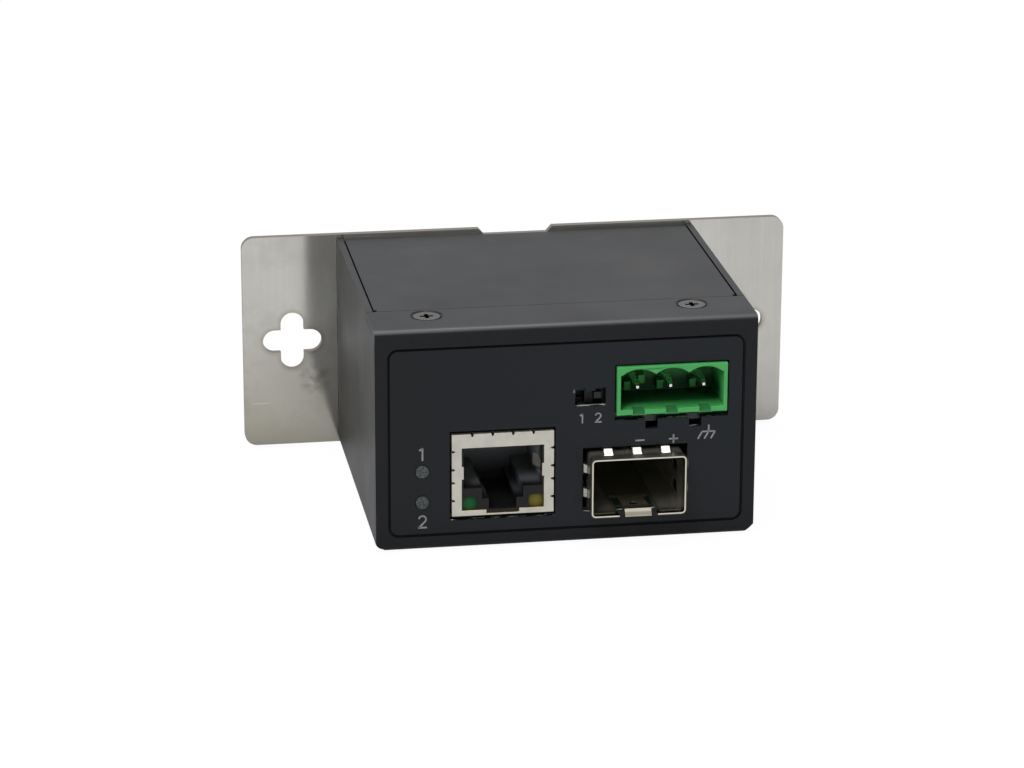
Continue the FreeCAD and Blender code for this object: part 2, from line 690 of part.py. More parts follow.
# Planes and levels that several pieces share
half_box = s.box_width / 2
front = -s.box_depth / 2
back = s.box_depth / 2
inner_front = front + s.steel
wall_back = back - s.wall_setback
flange_back = back - s.steel - s.seam
main_low = s.steel + s.standoff
main_top = main_low + s.board
cage_top = main_top + s.cage_height
free_height = s.box_height - s.steel - s.header_height - s.board - cage_top
power_low = cage_top + free_height * s.below_share
power_top = power_low + s.board
board_half = half_box - s.steel - s.board_side
board_front = inner_front + s.board_gap
board_back = flange_back - s.steel - s.nut_height - s.board_back_gap
recess_floor = front + s.recess_depth
label_face = recess_floor - s.label_film
jack_front = front - s.jack_proud
jack_back = jack_front + s.jack_depth
header_front = front - s.header_proud
header_back = header_front + s.header_depth
power_step = jack_back + s.step_gap
post_x = board_half - s.post_inset
stud_radius = s.shank_radius - s.stud_less

# Places of the sockets in the front panel, each as (low, high) across and up
jack_across = about(s.jack_x, s.jack_width / 2)
jack_up = (main_top + s.jack_lift, main_top + s.jack_lift + s.jack_height)
cage_across = about(s.cage_x, s.cage_width / 2)
cage_up = (main_top, cage_top)
header_across = about(s.header_x, s.header_width / 2)
header_up = (power_top, power_top + s.header_height)
switch_x = header_across[0] - s.switch_gap - s.switch_body / 2
switch_centre = power_top + s.switch_middle
label_half = half_box - s.label_side
label_up = (s.label_below, s.box_height - s.label_above)
plate_middle = s.plate_lift + s.plate_height / 2


def plate_screw_places():
    """Where the two plate screws stand, across the plate's middle line."""
    return [-s.plate_screw_x, s.plate_screw_x]


def grown(span, low, high):
    """A span with a margin at each end."""
    return (span[0] - low, span[1] + high)


def switch_window():
    """The switch's hole, with the tab that hangs from its upper edge."""
    left, right = about(switch_x, s.window_width / 2)
    low, high = about(switch_centre + s.window_raise, s.window_height / 2)
    tab = about(switch_x, s.window_tab / 2)
    return [
        (left, low),
        (right, low),
        (right, high),
        (tab[1], high),
        (tab[1], high - s.window_tab_drop),
        (tab[0], high - s.window_tab_drop),
        (tab[0], high),
        (left, high),
    ]


def header_window():
    """The header's hole, with the two notches in its lower edge."""
    across = grown(header_across, s.header_margin, s.header_margin)
    low = header_up[0] - s.header_margin_low
    high = header_up[1] + s.header_margin
    foot = low - s.panel_notch_depth
    left = about(s.header_x - s.panel_notch_left, s.panel_notch_width / 2)
    right = about(s.header_x + s.panel_notch_right, s.panel_notch_width / 2)
    return [
        (across[0], low),
        (left[0], low),
        (left[0], foot),
        (left[1], foot),
        (left[1], low),
        (right[0], low),
        (right[0], foot),
        (right[1], foot),
        (right[1], low),
        (across[1], low),
        (across[1], high),
        (across[0], high),
    ]


def front_windows():
    """The holes that the panel and its label share."""
    jack_hole = rectangle(
        grown(jack_across, s.jack_margin, s.jack_margin),
        grown(jack_up, s.jack_margin_low, s.jack_margin_top),
    )
    cage_hole = rectangle(
        grown(cage_across, s.cage_margin_side, s.cage_margin_side),
        grown(cage_up, s.cage_margin_low, s.cage_margin_top),
    )
    return [jack_hole, cage_hole, header_window(), switch_window()]


def cut_windows(body, span):
    """Cut each of those holes, and the light pipes', over a span of depth."""
    for outline in front_windows():
        pocket(body, "XZ", span, [outline])
    pipe_hole = s.pipe_radius + s.pipe_gap
    for level in (s.pipe_low, s.pipe_high):
        pocket(body, "XZ", span, [], [(s.pipe_x, level, pipe_hole)])


def countersink(x, y, level):
    """The tools for a countersunk hole whose mouth faces up, in one sheet of steel."""
    sink_depth = s.sink_radius - s.hole_radius
    mouth = cone((x, y, level), "Z", s.sink_radius, s.sink_radius, OVERRUN)
    taper = cone((x, y, level - sink_depth), "Z", s.hole_radius, s.sink_radius, sink_depth)
    bore = rod((x, y, level - s.steel * 3), "Z", s.hole_radius, s.steel * 3)
    return [mouth, taper, bore]


def make_chassis():
    """The tray: floor, side walls, front panel and the lip folded back over the top."""
    body = new_body("Tray")
    bend = s.bend_inside + s.steel
    walls_front = inner_front + s.seam
    top = s.box_height
    # Floor and side walls, bent from one sheet
    pad(body, "XZ", (walls_front, wall_back), [[
        (-half_box, bend, bend),
        (-half_box + bend, 0),
        (half_box - bend, 0, bend),
        (half_box, bend),
        (half_box, top),
        (half_box - s.steel, top),
        (half_box - s.steel, bend, -s.bend_inside),
        (half_box - bend, s.steel),
        (-half_box + bend, s.steel, -s.bend_inside),
        (-half_box + s.steel, bend),
        (-half_box + s.steel, top),
        (-half_box, top),
    ]])
    # The walls' front ends are cut down so that the lip lies over them
    pocket(body, "XZ", (walls_front, front + s.lip_depth + s.seam), [
        rectangle((-half_box - 1, half_box + 1), (top - s.steel - s.seam, top + 1)),
    ])
    # Front panel with its two bevelled lower corners, joined to the floor by a bend
    pad(body, "XZ", (front, inner_front), [[
        (-half_box + s.corner_cut, 0),
        (half_box - s.corner_cut, 0),
        (half_box, s.corner_cut),
        (half_box, top),
        (-half_box, top),
        (-half_box, s.corner_cut),
    ]])
    floor_half = half_box - bend
    pad(body, "XY", (0, s.steel), [
        rectangle((-floor_half, floor_half), (inner_front, walls_front + bend)),
    ])
    # Lip
    pad(body, "XY", (top - s.steel, top), [
        rectangle((-half_box, half_box), (inner_front, front + s.lip_depth)),
    ])
    # Back flange, which the cover's back wall is screwed to
    pad(body, "YZ", (-s.flange_half, s.flange_half), [[
        (wall_back, 0),
        (wall_back, s.steel),
        (flange_back, s.steel),
        (flange_back, s.flange_height),
        (flange_back - s.steel, s.flange_height),
        (flange_back - s.steel, s.steel / 2),
        (flange_back - s.steel - bend, s.steel / 2),
        (flange_back - s.steel - bend, 0),
    ]])
    # The folds along the panel's upper and lower edges
    round_edges(body, s.steel - s.fold_land, ALONG_X,
                lambda p: near(p.y, front) and (near(p.z, 0) or near(p.z, top)))
    # Label recess, then the sockets' holes through the panel
    recess_across = grown((-label_half, label_half), s.recess_gap, s.recess_gap)
    recess_up = grown(label_up, s.recess_gap, s.recess_gap)
    pocket(body, "XZ", (front, recess_floor), [
        rounded(recess_across, recess_up, s.label_corner + s.recess_gap),
    ])
    cut_windows(body, (front, inner_front))
    # Holes of the plate screws in the back flange
    bores = [(x, plate_middle, s.hole_radius) for x in plate_screw_places()]
    pocket(body, "XZ", (flange_back - s.steel, flange_back), [], bores)
    # The floor ends inside the cover's back wall, with a relief beside the flange's bend
    floor_end = flange_back - s.steel - bend
    relief = s.flange_half + s.relief_width
    pocket(body, "XY", (0, bend), [[
        (-half_box + s.steel, flange_back),
        (-relief, flange_back),
        (-relief, floor_end),
        (-s.flange_half, floor_end),
        (-s.flange_half, flange_back),
        (s.flange_half, flange_back),
        (s.flange_half, floor_end),
        (relief, floor_end),
        (relief, flange_back),
        (half_box - s.steel, flange_back),
        (half_box - s.steel, back),
        (-half_box + s.steel, back),
    ]])
    sinks = []
    for x in (-s.lip_screw_x, s.lip_screw_x):
        sinks += countersink(x, front + s.lip_screw_y, top)
    node("chassis", cut(body, sinks, "Chassis"))


def board_posts():
    """Where the two spacers stand that carry both boards, at opposite corners."""
    return [
        (post_x, header_back + s.post_header + s.pan_radius),
        (-post_x, board_back - s.post_back),
    ]


def make_cover():
    """The cover: top plate with a tongue stepped under the lip, and the back wall."""
    body = new_body("Lid")
    bend = s.bend_inside + s.steel
    half = half_box - s.steel - s.cover_gap
    top = s.box_height
    under = top - s.steel
    step = front + s.lip_depth + s.seam
    tongue_top = under - s.seam
    # Top plate and back wall, bent from one sheet
    pad(body, "YZ", (-half, half), [[
        (step, top),
        (step, under),
        (back - bend, under, -s.bend_inside),
        (back - s.steel, top - bend),
        (back - s.steel, s.cover_gap),
        (back, s.cover_gap),
        (back, top - bend, bend),
        (back - bend, top),
    ]])
    # Tongue, stepped down by one thickness of sheet
    tongue_half = half - s.tongue_inset
    pad(body, "YZ", (-tongue_half, tongue_half), [[
        (step, top),
        (step, tongue_top),
        (front + s.lip_depth - s.tongue_depth, tongue_top),
        (front + s.lip_depth - s.tongue_depth, tongue_top - s.steel),
        (step + s.steel, tongue_top - s.steel),
        (step + s.steel, top),
    ]])
    # Bend reliefs at the plate's front corners, and the back wall's screw holes
    pocket(body, "XY", (under - s.steel, top), [
        rectangle((side[0], side[1]), (step - OVERRUN, step + s.relief_depth))
        for side in (
            (-tongue_half - s.relief_width, -tongue_half),
            (tongue_half, tongue_half + s.relief_width),
        )
    ])
    holes = [(x, plate_middle, s.hole_radius) for x in plate_screw_places()]
    pocket(body, "XZ", (back - s.steel, back), [], holes)
    bores = [(x, front + s.lip_screw_y, s.shank_radius + s.thread_gap)
             for x in (-s.lip_screw_x, s.lip_screw_x)]
    pocket(body, "XY", (tongue_top - s.steel, tongue_top), [], bores)
    node("cover", body)


def make_cover_nuts():
    """The two hexagonal nuts welded under the cover's tongue."""
    low = s.box_height - s.steel * 2 - s.seam - s.nut_height
    y = front + s.lip_screw_y
    nuts = []
    for x in (-s.lip_screw_x, s.lip_screw_x):
        body = new_body("CoverNut")
        bore = (x, y, s.shank_radius + s.thread_gap)
        pad(body, "XY", (low, low + s.nut_height), [hexagon((x, y), s.nut_flats)], [bore])
        nuts.append(body)
    node("cover_nuts", group(nuts))


def make_plate_nuts():
    """The two hexagonal nuts welded to the back flange, behind the plate screws."""
    high = flange_back - s.steel
    nuts = []
    for x in plate_screw_places():
        body = new_body("PlateNut")
        bore = (x, plate_middle, s.shank_radius + s.thread_gap)
        pad(body, "XZ", (high - s.nut_height, high), [hexagon((x, plate_middle), s.nut_flats)], [bore])
        nuts.append(body)
    node("plate_nuts", group(nuts))


def cross_recess(x, y, level):
    """The two crossing grooves of a screw's drive, cut down from a level."""
    depth = (level - s.drive_depth, level + OVERRUN)
    arm, width = s.drive_length / 2, s.drive_width / 2
    return [
        box(about(x, arm), about(y, width), depth),
        box(about(x, width), about(y, arm), depth),
    ]


def make_cover_screws():
    """The two countersunk screws in the lip."""
    screws = []
    y = front + s.lip_screw_y
    top = s.box_height - s.head_drop
    for x in (-s.lip_screw_x, s.lip_screw_x):
        head = cone((x, y, top - s.head_height), "Z", s.shank_radius, s.head_radius, s.head_height)
        shank_length = s.screw_length - s.head_height
        shank = rod((x, y, top - s.screw_length), "Z", s.shank_radius, shank_length)
        screws.append(cut(join([head, shank]), cross_recess(x, y, top)))
    node("cover_screws", group(screws))


def make_plate_screws():
    """The two countersunk screws that hold the mounting plate, the cover and the flange."""
    screws = []
    face = back + s.plate_steel - s.head_drop
    tip = flange_back - s.steel - s.nut_height
    z = plate_middle
    depth = (face - s.drive_depth, face + OVERRUN)
    arm, width = s.drive_length / 2, s.drive_width / 2
    for x in plate_screw_places():
        head_start = face - s.head_height
        head = cone((x, head_start, z), "Y", s.shank_radius, s.head_radius, s.head_height)
        shank = rod((x, tip, z), "Y", s.shank_radius, head_start - tip)
        arms = [
            box(about(x, arm), depth, about(z, width)),
            box(about(x, width), depth, about(z, arm)),
        ]
        screws.append(cut(join([head, shank]), arms))
    node("plate_screws", group(screws))


def make_mounting_plate():
    """The stainless plate behind the box, with a cross hole in each ear."""
    body = new_body("Plate")
    half = s.plate_width / 2
    low = s.plate_lift
    high = s.plate_lift + s.plate_height
    span = (back, back + s.plate_steel)
    r = s.plate_corner
    notch = s.notch_width / 2
    pad(body, "XZ", span, [[
        (-half + r, low),
        (half - r, low, r),
        (half, low + r),
        (half, high - r, r),
        (half - r, high),
        (notch, high),
        (notch - s.notch_slope, high - s.notch_depth),
        (-notch + s.notch_slope, high - s.notch_depth),
        (-notch, high),
        (-half + r, high, r),
        (-half, high - r),
        (-half, low + r, r),
    ]])
    arm, width = s.slot_length / 2, s.slot_width / 2
    for along in ("across", "up"):
        pocket(body, "XZ", span, [
            stadium((x, plate_middle), along, arm, width)
            for x in (-s.slot_spacing / 2, s.slot_spacing / 2)
        ])
    tools = []
    sink_depth = s.sink_radius - s.hole_radius
    for x in plate_screw_places():
        start = (x, back + s.plate_steel - sink_depth, plate_middle)
        tools.append(cone(start, "Y", s.hole_radius, s.sink_radius, sink_depth))
        start = (x, back - OVERRUN, plate_middle)
        tools.append(rod(start, "Y", s.hole_radius, s.plate_steel + OVERRUN))
    node("mounting_plate", cut(body, tools, "MountingPlate"))


def make_label():
    """The printed film on the front panel."""
    body = new_body("Film")
    pad(body, "XZ", (label_face, recess_floor), [
        rounded((-label_half, label_half), label_up, s.label_corner),
    ])
    cut_windows(body, (label_face, recess_floor))
    node("front_label", body)


# Network jack
port_across = about(s.jack_x, s.port_width / 2)
port_up = (jack_up[0] + s.port_low, jack_up[1] - s.port_top)
housing_front = jack_front + s.shield_sheet
plug_low = port_up[0] + s.plug_floor


# Where the nicks stand along the face's upper edge and its sides, as shares of their lengths
NICKS_ABOVE = (0.2, 0.4, 0.6, 0.8)
NICKS_BESIDE = (0.19, 0.41, 0.57, 0.79)


def make_jack_shield():
    """The jack's folded shield: a five-sided can with the plug's opening in its face."""
    body = new_body("Shield")
    pad(body, "XZ", (jack_front, jack_back), [rectangle(jack_across, jack_up)])
    inside = (grown(jack_across, -s.shield_sheet, -s.shield_sheet),
              grown(jack_up, -s.shield_sheet, -s.shield_sheet))
    pocket(body, "XZ", (housing_front, jack_back), [rectangle(*inside)])
    left, right = port_across
    low, high = port_up
    slot = about(s.jack_x, s.port_slot / 2)
    slot_low = jack_up[0] + s.shield_sheet
    tab = (low + s.tab_low, low + s.tab_low + s.tab_height)
    pocket(body, "XZ", (jack_front, housing_front), [[
        (left, low),
        (slot[0], low),
        (slot[0], slot_low),
        (slot[1], slot_low),
        (slot[1], low),
        (right, low),
        (right, tab[0]),
        (right - s.tab_reach, tab[0]),
        (right - s.tab_reach, tab[1]),
        (right, tab[1]),
        (right, high),
        (left, high),
        (left, tab[1]),
        (left + s.tab_reach, tab[1]),
        (left + s.tab_reach, tab[0]),
        (left, tab[0]),
    ]])
    # Bend nicks round the face
    wide, narrow = s.nick / 2, s.nick / 4
    nicks = []
    for share in NICKS_ABOVE:
        x = jack_across[0] + s.jack_width * share
        top = jack_up[1]
        bottom = top - s.nick
        nicks.append([(x - wide, top), (x - narrow, bottom), (x + narrow, bottom), (x + wide, top)])
    for share in NICKS_BESIDE:
        z = jack_up[0] + s.jack_height * share
        for side, end in (
            (jack_across[0], jack_across[0] + s.nick),
            (jack_across[1], jack_across[1] - s.nick),
        ):
            nicks.append([(side, z - wide), (end, z - narrow), (end, z + narrow), (side, z + wide)])
    pocket(body, "XZ", (jack_front, jack_front + s.nick_run), nicks)
    # Spring fingers bent in from the side walls, which touch the plug's shield
    reach = s.plug_width / 2 - s.shield_spring_inset
    wall = s.jack_width / 2 - s.shield_sheet
    base, tip = jack_front + s.shield_spring_root, jack_front + s.shield_spring_tip
    level = (tab[0] - s.shield_spring_drop, tab[1] - s.shield_spring_drop)
    for way in (-1, 1):
        pad(body, "XY", level, [[
            (s.jack_x + wall * way, base),
            (s.jack_x + reach * way, tip),
            (s.jack_x + reach * way, tip + s.shield_sheet),
            (s.jack_x + wall * way, base + s.shield_sheet),
        ]])
    node("jack_shield", body)


def make_jack_housing():
    """The jack's moulded insert, with the plug's stepped cavity open to the front."""
    body = new_body("Insert")
    slip = s.shield_sheet + s.housing_slip
    across = grown(jack_across, -slip, -slip)
    up = grown(jack_up, -slip, -slip)
    housing_back = jack_back - s.housing_short
    pad(body, "XZ", (housing_front, housing_back), [rectangle(across, up)])
    cavity_back = housing_front + s.plug_depth
    half, upper, lower = s.plug_width / 2, s.latch_width / 2, s.latch_narrow / 2
    step = port_up[0] + s.latch_step
    x = s.jack_x
    pocket(body, "XZ", (housing_front, cavity_back), [[
        (x - lower, port_up[0]),
        (x + lower, port_up[0]),
        (x + lower, step),
        (x + upper, step),
        (x + upper, plug_low),
        (x + half, plug_low),
        (x + half, plug_low + s.plug_height),
        (x - half, plug_low + s.plug_height),
        (x - half, plug_low),
        (x - upper, plug_low),
        (x - upper, step),
        (x - lower, step),
    ]])
    # Windows for the shield's spring fingers
    tab_low = port_up[0] + s.tab_low
    rooms = (housing_front + s.spring_room_front, housing_front + s.spring_room_back)
    pocket(body, "XZ", rooms, [
        rectangle(jack_across, (tab_low - s.spring_room_drop, tab_low + s.tab_height)),
    ])
    # Channels for the two light guides
    for _, left in lamp_places():
        pocket(body, "XZ", (housing_front, housing_front + s.lamp_depth), [
            rectangle((left, left + s.lamp_width), (port_up[0], port_up[0] + s.lamp_height)),
        ])
    node("jack_housing", body)


def lamp_places():
    """The name and the left side of each light guide."""
    return [
        ("jack_lamp_green", port_across[0] + s.lamp_side),
        ("jack_lamp_yellow", port_across[1] - s.lamp_side - s.lamp_width),
    ]


def make_jack_lamps():
    """The two light guides in the jack's lower corners."""
    for label, left in lamp_places():
        guide = box(
            (left, left + s.lamp_width),
            (housing_front + s.lamp_recess, housing_front + s.lamp_depth),
            (port_up[0], port_up[0] + s.lamp_height),
        )
        node(label, guide)


def make_jack_contacts():
    """The spring wires that run along the cavity's roof and slope down and back."""
    roof = plug_low + s.plug_height
    nose = housing_front + s.wire_front
    low = roof - s.wire_drop
    heel = nose + s.wire_run
    wires = []
    count = int(round(s.wire_count.value))
    for i in range(count):
        body = new_body(f"Wire{i}")
        x = s.jack_x + s.wire_pitch * (i - (count - 1) / 2)
        pad(body, "YZ", about(x, s.wire / 2), [[
            (nose, roof - s.wire),
            (heel, low),
            (heel + s.wire_foot, low),
            (heel + s.wire_foot, low + s.wire),
            (heel, low + s.wire),
            (nose + s.wire_bend, roof - s.wire),
            (housing_front + s.plug_depth, roof - s.wire),
            (housing_front + s.plug_depth, roof),
            (nose, roof),
        ]])
        wires.append(body)
    node("jack_contacts", group(wires))


# Optics cage
cage_mouth = front - s.cage_proud
cage_front = cage_mouth + s.finger_sheet
cage_back = board_back - s.cage_back_gap
cage_floor = cage_up[0] + s.cage_sheet


def cage_inside():
    """The outline of the cage's bore."""
    across = grown(cage_across, -s.cage_sheet, -s.cage_sheet)
    up = grown(cage_up, -s.cage_sheet, -s.cage_sheet)
    return rounded(across, up, s.cage_corner - s.cage_sheet)


def make_cage():
    """The folded cage that takes the optical module, with its latch tongue in the floor."""
    body = new_body("Cage")
    sheet_in = s.cage_sheet
    pad(body, "XZ", (cage_front, cage_back), [rounded(cage_across, cage_up, s.cage_corner)])
    pocket(body, "XZ", (cage_front, cage_back - sheet_in), [cage_inside()])
    # The tongue: it rises from its root in the floor, and its tip is bent down at the mouth
    x = s.cage_x
    half = s.latch_tongue / 2
    root = cage_front + s.latch_length
    bend = cage_front + s.latch_bend
    tip = cage_front
    underside = cage_up[0]
    floor_span = (underside, cage_floor)
    pocket(body, "XY", floor_span, [rectangle(about(x, half + s.latch_gap), (cage_front, root))])
    pad(body, "YZ", about(x, half), [[
        (root, underside),
        (bend + sheet_in, underside + s.latch_rise),
        (tip + sheet_in, underside - s.latch_drop),
        (tip, underside - s.latch_drop),
        (bend, cage_floor + s.latch_rise),
        (root, cage_floor),
    ]])
    # The triangular hole in the tongue, which holds the module's latch post
    hole = s.latch_hole / 2
    hole_front = cage_front + s.latch_hole_front
    pocket(body, "XY", (underside, cage_floor + s.latch_rise), [[
        (x - hole, hole_front),
        (x + hole, hole_front),
        (x, hole_front + s.latch_hole_length),
    ]])
    # Pads embossed in the floor, one on each side of the tongue
    beside = half + s.latch_gap + s.rail_side
    rails = [
        rectangle(span, (cage_front + s.rail_front, cage_front + s.rail_length))
        for span in ((x - beside - s.rail_width, x - beside), (x + beside, x + beside + s.rail_width))
    ]
    pad(body, "XY", (cage_floor, cage_floor + s.rail_height), rails)
    # Two windows in each side
    slot_front = cage_front + s.side_slot_front
    slot_low = underside + s.side_slot_low
    pocket(body, "YZ", cage_across, [
        rectangle((slot_front, slot_front + s.side_slot_length), (low, low + s.side_slot_height))
        for low in (slot_low, slot_low + s.side_slot_pitch)
    ])
    # The socket comes up through the back of the floor
    socket_half = s.socket_width / 2 + s.socket_gap
    socket_span = (cage_back - s.socket_back - s.socket_depth - s.socket_gap, cage_back - sheet_in)
    pocket(body, "XY", floor_span, [rectangle(about(x, socket_half), socket_span)])
    node("optics_cage", body)


# A spring finger's profile: shares of its length and of its rise
FINGER_SHARES = ((0.0, 0.0), (0.11, 0.4), (0.22, 0.97), (0.3, 1.0), (0.4, 0.72), (1.0, 0.3))


def finger(start, level, way):
    """A spring finger's outline, as (distance back, distance out) from the collar's band."""
    backs = [start + s.finger_length * share for share, _ in FINGER_SHARES]
    rises = [s.finger_rise * share for _, share in FINGER_SHARES]
    inner = [(back, level + rise * way) for back, rise in zip(backs, rises)]
    outer = [(back, level + (rise + s.finger_sheet) * way) for back, rise in zip(backs, rises)]
    return inner + outer[::-1]


def make_spring_collar():
    """The thin collar folded over the cage's mouth, whose spring fingers bear on the panel."""
    body = new_body("Collar")
    thick = s.finger_sheet
    band = (cage_mouth, cage_mouth + s.collar_depth)
    outside = rounded(
        grown(cage_across, thick, thick),
        grown(cage_up, thick, thick),
        s.cage_corner + thick,
    )
    pad(body, "XZ", band, [outside])
    pocket(body, "XZ", (cage_front, band[1]), [rounded(cage_across, cage_up, s.cage_corner)])
    pocket(body, "XZ", (cage_mouth, cage_front), [cage_inside()])
    # Open below, where the tongue's tip comes down
    opening = about(s.cage_x, s.latch_tongue / 2 + s.latch_gap)
    pocket(body, "XZ", band, [rectangle(opening, (cage_up[0] - thick * 2, cage_floor))])
    # Three fingers on top and two at each side
    half = s.finger_width / 2
    start = band[1] - thick
    for i in (-1, 0, 1):
        pad(body, "YZ", about(s.cage_x + s.top_finger_pitch * i, half), [finger(start, cage_up[1], 1)])
    middle = (cage_up[0] + cage_up[1]) / 2 + s.side_finger_raise
    for i in (-0.5, 0.5):
        for side, way in ((cage_across[0], -1), (cage_across[1], 1)):
            outline = [(out, back) for back, out in finger(start, side, way)]
            pad(body, "XY", about(middle + s.side_finger_pitch * i, half), [outline])
    node("spring_collar", body)


socket_end = cage_back - s.socket_back
socket_start = socket_end - s.socket_depth
socket_across = about(s.cage_x, s.socket_width / 2)
socket_middle = main_top + s.socket_height / 2 + s.socket_lift


def make_optics_socket():
    """The twenty-way socket at the back of the cage, with the slot for the module's board."""
    body = new_body("Socket")
    pad(body, "XZ", (socket_start, socket_end), [
        rectangle(socket_across, (main_top, main_top + s.socket_height)),
    ])
    pocket(body, "XZ", (socket_start, socket_start + s.socket_slot_depth), [
        rectangle(
            about(s.cage_x, s.socket_slot_width / 2),
            about(socket_middle, s.socket_slot_height / 2),
        ),
    ])
    node("optics_socket", body)


def make_socket_contacts():
    """Two rows of contacts, above and below the module's board."""
    contacts = []
    count = int(round(s.contact_count.value))
    depth = (socket_start + s.contact_recess, socket_start + s.socket_slot_depth)
    reach = s.contact_spread / 2
    thin = s.contact_thin
    for i in range(count):
        across = about(s.cage_x + s.socket_pitch * (i - (count - 1) / 2), s.contact_width / 2)
        contacts.append(box(across, depth, (socket_middle - reach - thin, socket_middle - reach)))
        contacts.append(box(across, depth, (socket_middle + reach, socket_middle + reach + thin)))
    node("socket_contacts", group(contacts))


# Power header
pin_level = header_up[0] + s.pin_height
pin_bend = header_back - s.pin_back - s.pin


def pin_places():
    """Where the three power pins stand across the header."""
    return [s.header_x + s.pin_pitch * i for i in (-1, 0, 1)]


def make_header():
    """The header's moulding: a trough whose roof has one arch over each pin."""
    body = new_body("Header")
    pad(body, "XZ", (header_front, header_back), [rectangle(header_across, header_up)])
    low = header_up[0] + s.header_floor
    foot = header_up[0] + s.arch_foot
    crown = s.arch_top - s.arch_foot
    left, right = grown(header_across, -s.header_wall, -s.header_wall)
    valley = s.pin_pitch / 2
    chord = s.pin_pitch
    arch = (chord * chord / (8 * crown) + crown / 2)
    x = s.header_x
    cavity = (header_front, header_front + s.header_cavity)
    pocket(body, "XZ", cavity, [[
        (left, low),
        (right, low),
        (right, foot),
        (x + valley * 3, foot, arch),
        (x + valley, foot, arch),
        (x - valley, foot, arch),
        (x - valley * 3, foot),
        (left, foot),
    ]])
    # Ramps in the lower wall's front edge, one under each pin
    for pin in pin_places():
        pocket(body, "YZ", about(pin, s.key_width / 2), [[
            (header_front, header_up[0] + s.key_land),
            (header_front + s.key_length, low),
            (header_front, low),
        ]])
    # Ribs on the cavity's end wall: one beside each pin, and the coding rib
    first_pin = pin_places()[0]
    ribs = [
        rectangle(
            about(pin - s.rib_side, s.rib_width / 2),
            about(pin_level - s.rib_drop, s.rib_height / 2),
        )
        for pin in pin_places()
    ]
    ribs.append(rectangle(
        about(first_pin + s.code_side, s.rib_width / 2),
        about(pin_level - s.code_drop, s.rib_height / 2),
    ))
    pad(body, "XZ", (cavity[1] - s.rib_depth, cavity[1]), ribs)
    # Holes that the pins pass through, and the slots behind that their legs go down in
    square = s.pin / 2
    pocket(body, "XZ", (cavity[1], pin_bend), [
        rectangle(about(pin, square), about(pin_level, square)) for pin in pin_places()
    ])
    pocket(body, "XZ", (pin_bend, header_back), [
        rectangle(about(pin, square), (header_up[0], pin_level + square)) for pin in pin_places()
    ])
    node("power_header", body)


def tapered_end(x, z, tip, base):
    """A pin's pyramid end, from its tip back to the full section."""
    wedge = doc.addObject("Part::Wedge", "PinEnd")
    bind(wedge, "Ymin", tip)
    bind(wedge, "Ymax", base)
    for start, middle in (("X", x), ("Z", z)):
        low, high = about(middle, s.pin_tip / 2)
        bind(wedge, f"{start}min", low)
        bind(wedge, f"{start}max", high)
        low, high = about(middle, s.pin / 2)
        bind(wedge, f"{start}2min", low)
        bind(wedge, f"{start}2max", high)
    return wedge


def make_power_pins():
    """Three pins with tapered ends, bent down at the back into the power board."""
    square = s.pin / 2
    tip = header_front + s.pin_recess
    shoulder = tip + s.pin_taper
    heel = pin_bend + s.pin
    pins = []
    for x in pin_places():
        shaft = box(about(x, square), (shoulder, heel), about(pin_level, square))
        leg = box(about(x, square), (pin_bend, heel), (power_low - s.pin_through, pin_level))
        pins.append(join([tapered_end(x, pin_level, tip, shoulder), shaft, leg]))
    node("power_pins", group(pins))


# Setting switch
switch_face = inner_front + s.switch_front
switch_split = switch_face + s.switch_depth
switch_up = (power_top, power_top + s.switch_height)
switch_across = about(switch_x, s.switch_body / 2)
chamber_back = switch_face + s.switch_wall + s.shoe_depth + s.slide_gap * 2


def way_places():
    """Where the two sliders run across the switch."""
    return [switch_x - s.way_pitch / 2, switch_x + s.way_pitch / 2]


def make_switch_case():
    """The switch's case: a window and a chamber behind it for each slider."""
    body = new_body("Case")
    pad(body, "XZ", (switch_face, switch_split), [rectangle(switch_across, switch_up)])
    gap = s.slide_gap
    window = (s.knob_height + s.throw) / 2 + gap
    chamber = (s.shoe_height + s.throw) / 2 + gap
    pocket(body, "XZ", (switch_face, switch_face + s.switch_wall), [
        rectangle(about(x, s.knob_width / 2 + gap), about(switch_centre, window))
        for x in way_places()
    ])
    pocket(body, "XZ", (switch_face + s.switch_wall, switch_split), [
        rectangle(about(x, s.shoe_width / 2 + gap), about(switch_centre, chamber))
        for x in way_places()
    ])
    node("switch_case", body)


def make_switch_base():
    """The base that closes the case, with a rib that backs each slider."""
    plate = box(switch_across, (switch_split, switch_split + s.switch_base), switch_up)
    rib_up = about(switch_centre, s.shoe_height / 2 + s.throw / 3)
    ribs = [
        box(about(x, s.shoe_width / 2), (chamber_back, switch_split), rib_up)
        for x in way_places()
    ]
    node("switch_base", join([plate] + ribs))


def make_sliders():
    """The two sliders: the left one at the lower end of its travel, the right one at the upper."""
    shoe_front = switch_face + s.switch_wall + s.slide_gap
    for i, x in enumerate(way_places(), start=1):
        level = switch_centre + s.throw * (i - 1.5)
        knob = box(
            about(x, s.knob_width / 2),
            (switch_face - s.knob_reach, shoe_front + s.shoe_depth / 2),
            about(level, s.knob_height / 2),
        )
        shoe = box(
            about(x, s.shoe_width / 2),
            (shoe_front, shoe_front + s.shoe_depth),
            about(level, s.shoe_height / 2),
        )
        node(f"slider_{i}", join([knob, shoe]))


def switch_legs():
    """Across and along spans of the switch's four legs."""
    return [
        (about(x, s.leg / 2), about(switch_split + s.leg_apart * way, s.leg_thin / 2))
        for x in way_places()
        for way in (-0.5, 0.5)
    ]


def make_switch_pins():
    """The switch's four legs, through the power board."""
    legs = [box(across, along, (power_low - s.leg_through, power_top)) for across, along in switch_legs()]
    node("switch_pins", group(legs))


def block(centre, width, depth, levels):
    """A box that stands round a place on a board."""
    return box(about(centre[0], width / 2), about(centre[1], depth / 2), levels)


